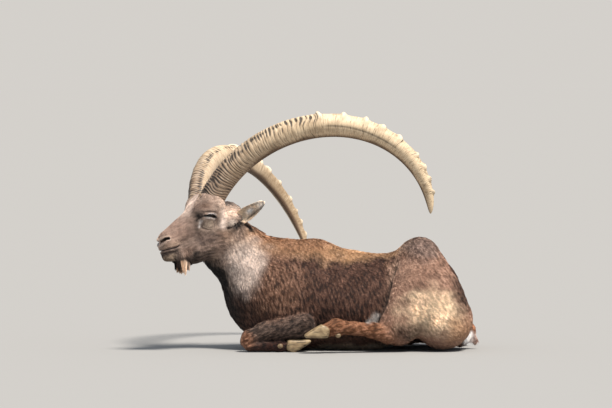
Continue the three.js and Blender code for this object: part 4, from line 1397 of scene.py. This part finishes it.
def tinted(tree, under, colour, mask, low=0.0, high=1.0, least=0.0, most=1.0):
    """Lays a colour over another: least of it where the mask is low, most where it is high"""
    share = add(tree, "ShaderNodeMapRange", ranged(low, high, least, most), {"Value": mask})
    settings, links = {"data_type": "RGBA"}, {0: share.outputs["Result"]}
    for number, tone in ((6, under), (7, colour)):
        if isinstance(tone, str):
            settings[number] = rgba(tone)
        else:
            links[number] = tone
    return add(tree, "ShaderNodeMix", settings, links).outputs[2]


def finish_surface(tree, shader, colour, values, relief=None):
    """Gives the shader its colour and values, and a relief: a pattern, its strength and its depth in mm"""
    tree.links.new(colour, shader.inputs["Base Color"])
    for name, value in values.items():
        shader.inputs[name].default_value = value
    if relief:
        pattern, strength, depth = relief
        settings = {"Strength": strength, "Distance": depth * MM}
        bump = add(tree, "ShaderNodeBump", settings, {"Height": pattern})
        tree.links.new(bump.outputs["Normal"], shader.inputs["Normal"])


def coat_material():
    """Keratin hair: matt, darker at the root as painted shade deep in the coat, with a soft sheen where it
    lies along the light
    """
    material, tree, shader, place, kept = start_surface("hair", "coat_colour", "along")
    # Single hairs are under 0.2 mm; pale flecks are drawn 2.4 mm wide so that they show.
    flecks = add(tree, "ShaderNodeTexNoise", {"Scale": per_metre(2.38), "Detail": 2.0}, place).outputs["Fac"]
    tone, along = kept["coat_colour"]["Color"], kept["along"]["Fac"]
    # Painted shade: darker towards the root of each tuft
    base = tinted(tree, tone, "#1c130d", along, 0.0, 0.6, 0.4, 0.0)
    base = tinted(tree, base, "#e2cdb4", flecks, 0.56, 0.78, 0.0, 0.05)
    look = {"Roughness": 0.72, "Sheen Weight": 0.06, "Specular IOR Level": 0.28}
    finish_surface(tree, shader, base, look)
    return material


def skin_material():
    """Skin under the hair: the coat's colours, darkened as painted shade under the hair; bare lids, lips and
    nose are moist
    """
    material, tree, shader, place, kept = start_surface("hide", "coat_colour", "bare")
    tone, bare = kept["coat_colour"]["Color"], kept["bare"]["Fac"]
    # Pores are about 0.3 mm apart; they are drawn at 1.4 mm so that they show.
    pores = add(tree, "ShaderNodeTexNoise", {"Scale": per_metre(1.43), "Detail": 4.0}, place).outputs["Fac"]
    shaded = {"data_type": "RGBA", 0: 0.22, 7: rgba("#2a1d15")}
    base = add(tree, "ShaderNodeMix", shaded, {6: tone}).outputs[2]
    base = tinted(tree, base, "#120c08", pores, 0.3, 0.7, 0.35, 0.0)
    base = tinted(tree, base, tone, bare)
    moist = add(tree, "ShaderNodeMapRange", ranged(0, 1, 0.8, 0.42), {"Value": bare})
    tree.links.new(moist.outputs["Result"], shader.inputs["Roughness"])
    finish_surface(tree, shader, base, {}, (pores, 0.35, 0.8))
    return material


def horn_material():
    """Horn: dull worn keratin with fine growth lines, dark in the crevices; dark along the keel partly as
    painted shade, and painted shade on the inner face far out
    """
    marks = ("reach", "crevice", "knob", "keel", "inner", "inner_shade", "growth")
    material, tree, shader, place, kept = start_surface("worn_horn", *marks)
    clouds = {"Scale": per_metre(45.5), "Detail": 5.0}  # stains of about 45 mm
    cloud = add(tree, "ShaderNodeTexNoise", clouds, place).outputs["Fac"]
    # Grit of under 1 mm is drawn at 3 mm so that it shows.
    grit = add(tree, "ShaderNodeTexNoise", {"Scale": per_metre(3.03), "Detail": 4.0}, place).outputs["Fac"]
    line_noise = {"Scale": 1.0, "Detail": 3.0, "Roughness": 0.65}  # its size is in the growth places
    growth = {"Vector": kept["growth"]["Vector"]}
    lines = add(tree, "ShaderNodeTexNoise", line_noise, growth).outputs["Fac"]
    base = "#8a7460"
    for colour, mask, *span in (
        ("#d8c09e", kept["reach"]["Fac"], 0.08, 0.38),  # paler away from the head
        ("#cdb699", kept["inner"]["Fac"], 0.0, 1.0, 0.0, 0.75),  # the inner face, rubbed
        # painted shade over the inner face far from the head
        ("#8d7455", kept["inner_shade"]["Fac"], 0.0, 1.0, 0.0, 0.7),
        ("#92795c", cloud, 0.47, 0.68, 0.0, 0.5),
        ("#6f5840", lines, 0.50, 0.68, 0.0, 0.7),
        ("#e6d6bd", lines, 0.46, 0.30, 0.0, 0.4),
        # darker along the keel, partly painted shade on the horn's underside
        ("#4b3320", kept["keel"]["Fac"], 0.0, 1.0, 0.0, 0.88),
        ("#e3d3ba", kept["knob"]["Fac"], 0.2, 0.9, 0.0, 0.7),
        ("#1f1610", kept["crevice"]["Fac"], 0.12, 0.8, 0.0, 0.93),
        ("#5d4936", grit, 0.55, 0.78, 0.0, 0.4),
    ):
        base = tinted(tree, base, colour, mask, *span)
    worn = add(tree, "ShaderNodeMapRange", ranged(0.3, 0.7, 0.52, 0.7), {"Value": cloud})
    tree.links.new(worn.outputs["Result"], shader.inputs["Roughness"])
    finish_surface(tree, shader, base, {}, (lines, 0.6, 0.9))
    return material


def hoof_material():
    """Hoof wall: hard grey-brown keratin with fine lines down to the edge"""
    material, tree, shader, place, _ = start_surface("hoof_wall")
    clouds = {"Scale": per_metre(16.7), "Detail": 4.0}  # blotches of about 17 mm
    cloud = add(tree, "ShaderNodeTexNoise", clouds, place).outputs["Fac"]
    # Lines under 1 mm apart are drawn 4 mm apart and 50 mm long so that they show.
    stretched = {"Scale": [per_metre(size) for size in (50, 3.85, 4.17)]}
    stretch = add(tree, "ShaderNodeMapping", stretched, place).outputs["Vector"]
    lines = add(tree, "ShaderNodeTexNoise", {"Scale": 1.0, "Detail": 2.0}, {"Vector": stretch}).outputs["Fac"]
    base = tinted(tree, "#a8926f", "#6f5a41", cloud, 0.35, 0.7)
    base = tinted(tree, base, "#2c2118", lines, 0.5, 0.68, 0.0, 0.8)
    finish_surface(tree, shader, base, {"Roughness": 0.5}, (lines, 0.4, 0.5))
    return material


def eye_material():
    """Wet eyeball: a brown iris painted almost black as painted shade of the lids, dark level pupil, clear
    coat over it
    """
    material, tree, shader, place, kept = start_surface("wet_eye", "iris", "pupil")
    # Fibres of the iris are about 0.2 mm; they are drawn at 1.1 mm.
    fibres = add(tree, "ShaderNodeTexNoise", {"Scale": per_metre(1.11), "Detail": 3.0}, place).outputs["Fac"]
    iris = tinted(tree, "#0a0603", "#170d06", fibres)
    base = tinted(tree, "#150e0a", iris, kept["iris"]["Fac"])
    base = tinted(tree, base, "#050404", kept["pupil"]["Fac"])
    look = {"Roughness": 0.16, "Specular IOR Level": 0.2, "Coat Weight": 0.15}
    finish_surface(tree, shader, base, look)
    return material


def dress(piece, material):
    piece.data.materials.clear()
    piece.data.materials.append(material)


# Building it all
skin = make_skin()
sculpt_face(skin)
ear = add_ears(skin)
colour_skin(skin, ear)
dress(skin, skin_material())
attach(skin, "root")
flesh_nodes = [*PARTS, "ear_left", "ear_right"]
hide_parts(*flesh_nodes)

hair = coat_material()
for piece in make_coat(skin, ear):
    dress(piece, hair)
    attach(piece, "root")
dress(make_beard(), hair)

horn_finish = horn_material()
eye_finish = eye_material()
for side in (1, -1):
    dress(horn_piece(side), horn_finish)
    dress(eye_piece(side), eye_finish)

CLAW_VOXEL = 1.8
DEWCLAW_VOXEL = 1.1
hoof_finish = hoof_material()
for node in sorted(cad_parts):
    if node.startswith("claw"):
        dress(hoof_piece(node, CLAW_VOXEL), hoof_finish)
    elif node.startswith("dewclaw"):
        dress(hoof_piece(node, DEWCLAW_VOXEL), hoof_finish)


# Floor, lights and camera
FLOOR_SIZE = 400.0  # metres
FLOOR_COLOUR = "#959492"
SKY_COLOUR = "#dde6f2"
SKY_STRENGTH = 0.72
KEY_COLOUR = "#fff8ef"
KEY_STRENGTH = 6.0
KEY_SOFTNESS = 14  # degrees across
KEY_FROM = (1.9, -2.3, 5.4)  # the key light shines from here to the origin


def lit_floor():
    """How bright the lit floor looks; the backdrop takes the same tone, so that no horizon shows"""
    steepness = KEY_FROM[2] / math.hypot(*KEY_FROM)
    key = linear(KEY_COLOUR) * KEY_STRENGTH * steepness / math.pi
    return linear(FLOOR_COLOUR) * (linear(SKY_COLOUR) * SKY_STRENGTH + key)


def make_floor():
    mesh = bpy.data.meshes.new("floor")
    half = FLOOR_SIZE / 2
    corners = [(-half, -half, 0), (half, -half, 0), (half, half, 0), (-half, half, 0)]
    mesh.from_pydata(corners, [], [(0, 1, 2, 3)])
    floor = add_object("floor", mesh)
    material, _, shader = new_material("pale_floor")
    shader.inputs["Base Color"].default_value = rgba(FLOOR_COLOUR)
    shader.inputs["Roughness"].default_value = 1.0
    shader.inputs["Specular IOR Level"].default_value = 0.0
    dress(floor, material)


def make_lights():
    data = bpy.data.lights.new("key", "SUN")
    data.energy = KEY_STRENGTH
    data.angle = math.radians(KEY_SOFTNESS)
    data.color = linear(KEY_COLOUR)
    key = add_object("key", data)
    key.location = KEY_FROM
    key.rotation_euler = Vector([-v for v in KEY_FROM]).to_track_quat("-Z", "Y").to_euler()

    world = bpy.data.worlds.new("studio")
    world.use_nodes = True
    tree = world.node_tree
    sky = tree.nodes["Background"]
    sky.inputs["Color"].default_value = rgba(SKY_COLOUR)
    sky.inputs["Strength"].default_value = SKY_STRENGTH
    backdrop = add(tree, "ShaderNodeBackground", {"Color": (*lit_floor(), 1.0), "Strength": 1.0})
    seen = add(tree, "ShaderNodeLightPath").outputs["Is Camera Ray"]
    ends = {0: seen, 1: sky.outputs[0], 2: backdrop.outputs[0]}
    both = add(tree, "ShaderNodeMixShader", None, ends)
    tree.links.new(both.outputs[0], tree.nodes["World Output"].inputs["Surface"])
    bpy.context.scene.world = world


CAMERA_DISTANCE = 14.0  # metres from the target
CAMERA_TARGET = (-0.0378, 0.0, 0.457)
CAMERA_ELEVATION = 2.0  # degrees above the level
FRAME_WIDTH = 612 * 3.15 * MM  # metres across the picture at the target: 3.15 mm to a pixel
SENSOR_WIDTH = 36.0


def make_camera():
    data = bpy.data.cameras.new("camera")
    data.sensor_width = SENSOR_WIDTH
    data.lens = SENSOR_WIDTH * CAMERA_DISTANCE / FRAME_WIDTH
    data.clip_end = 100
    camera = add_object("camera", data)
    tilt = math.radians(CAMERA_ELEVATION)
    back = Vector((0, -math.cos(tilt), math.sin(tilt)))
    camera.location = Vector(CAMERA_TARGET) + back * CAMERA_DISTANCE
    camera.rotation_euler = (-back).to_track_quat("-Z", "Y").to_euler()
    bpy.context.scene.camera = camera


make_floor()
make_lights()
make_camera()
bpy.context.scene.view_settings.view_transform = "Standard"
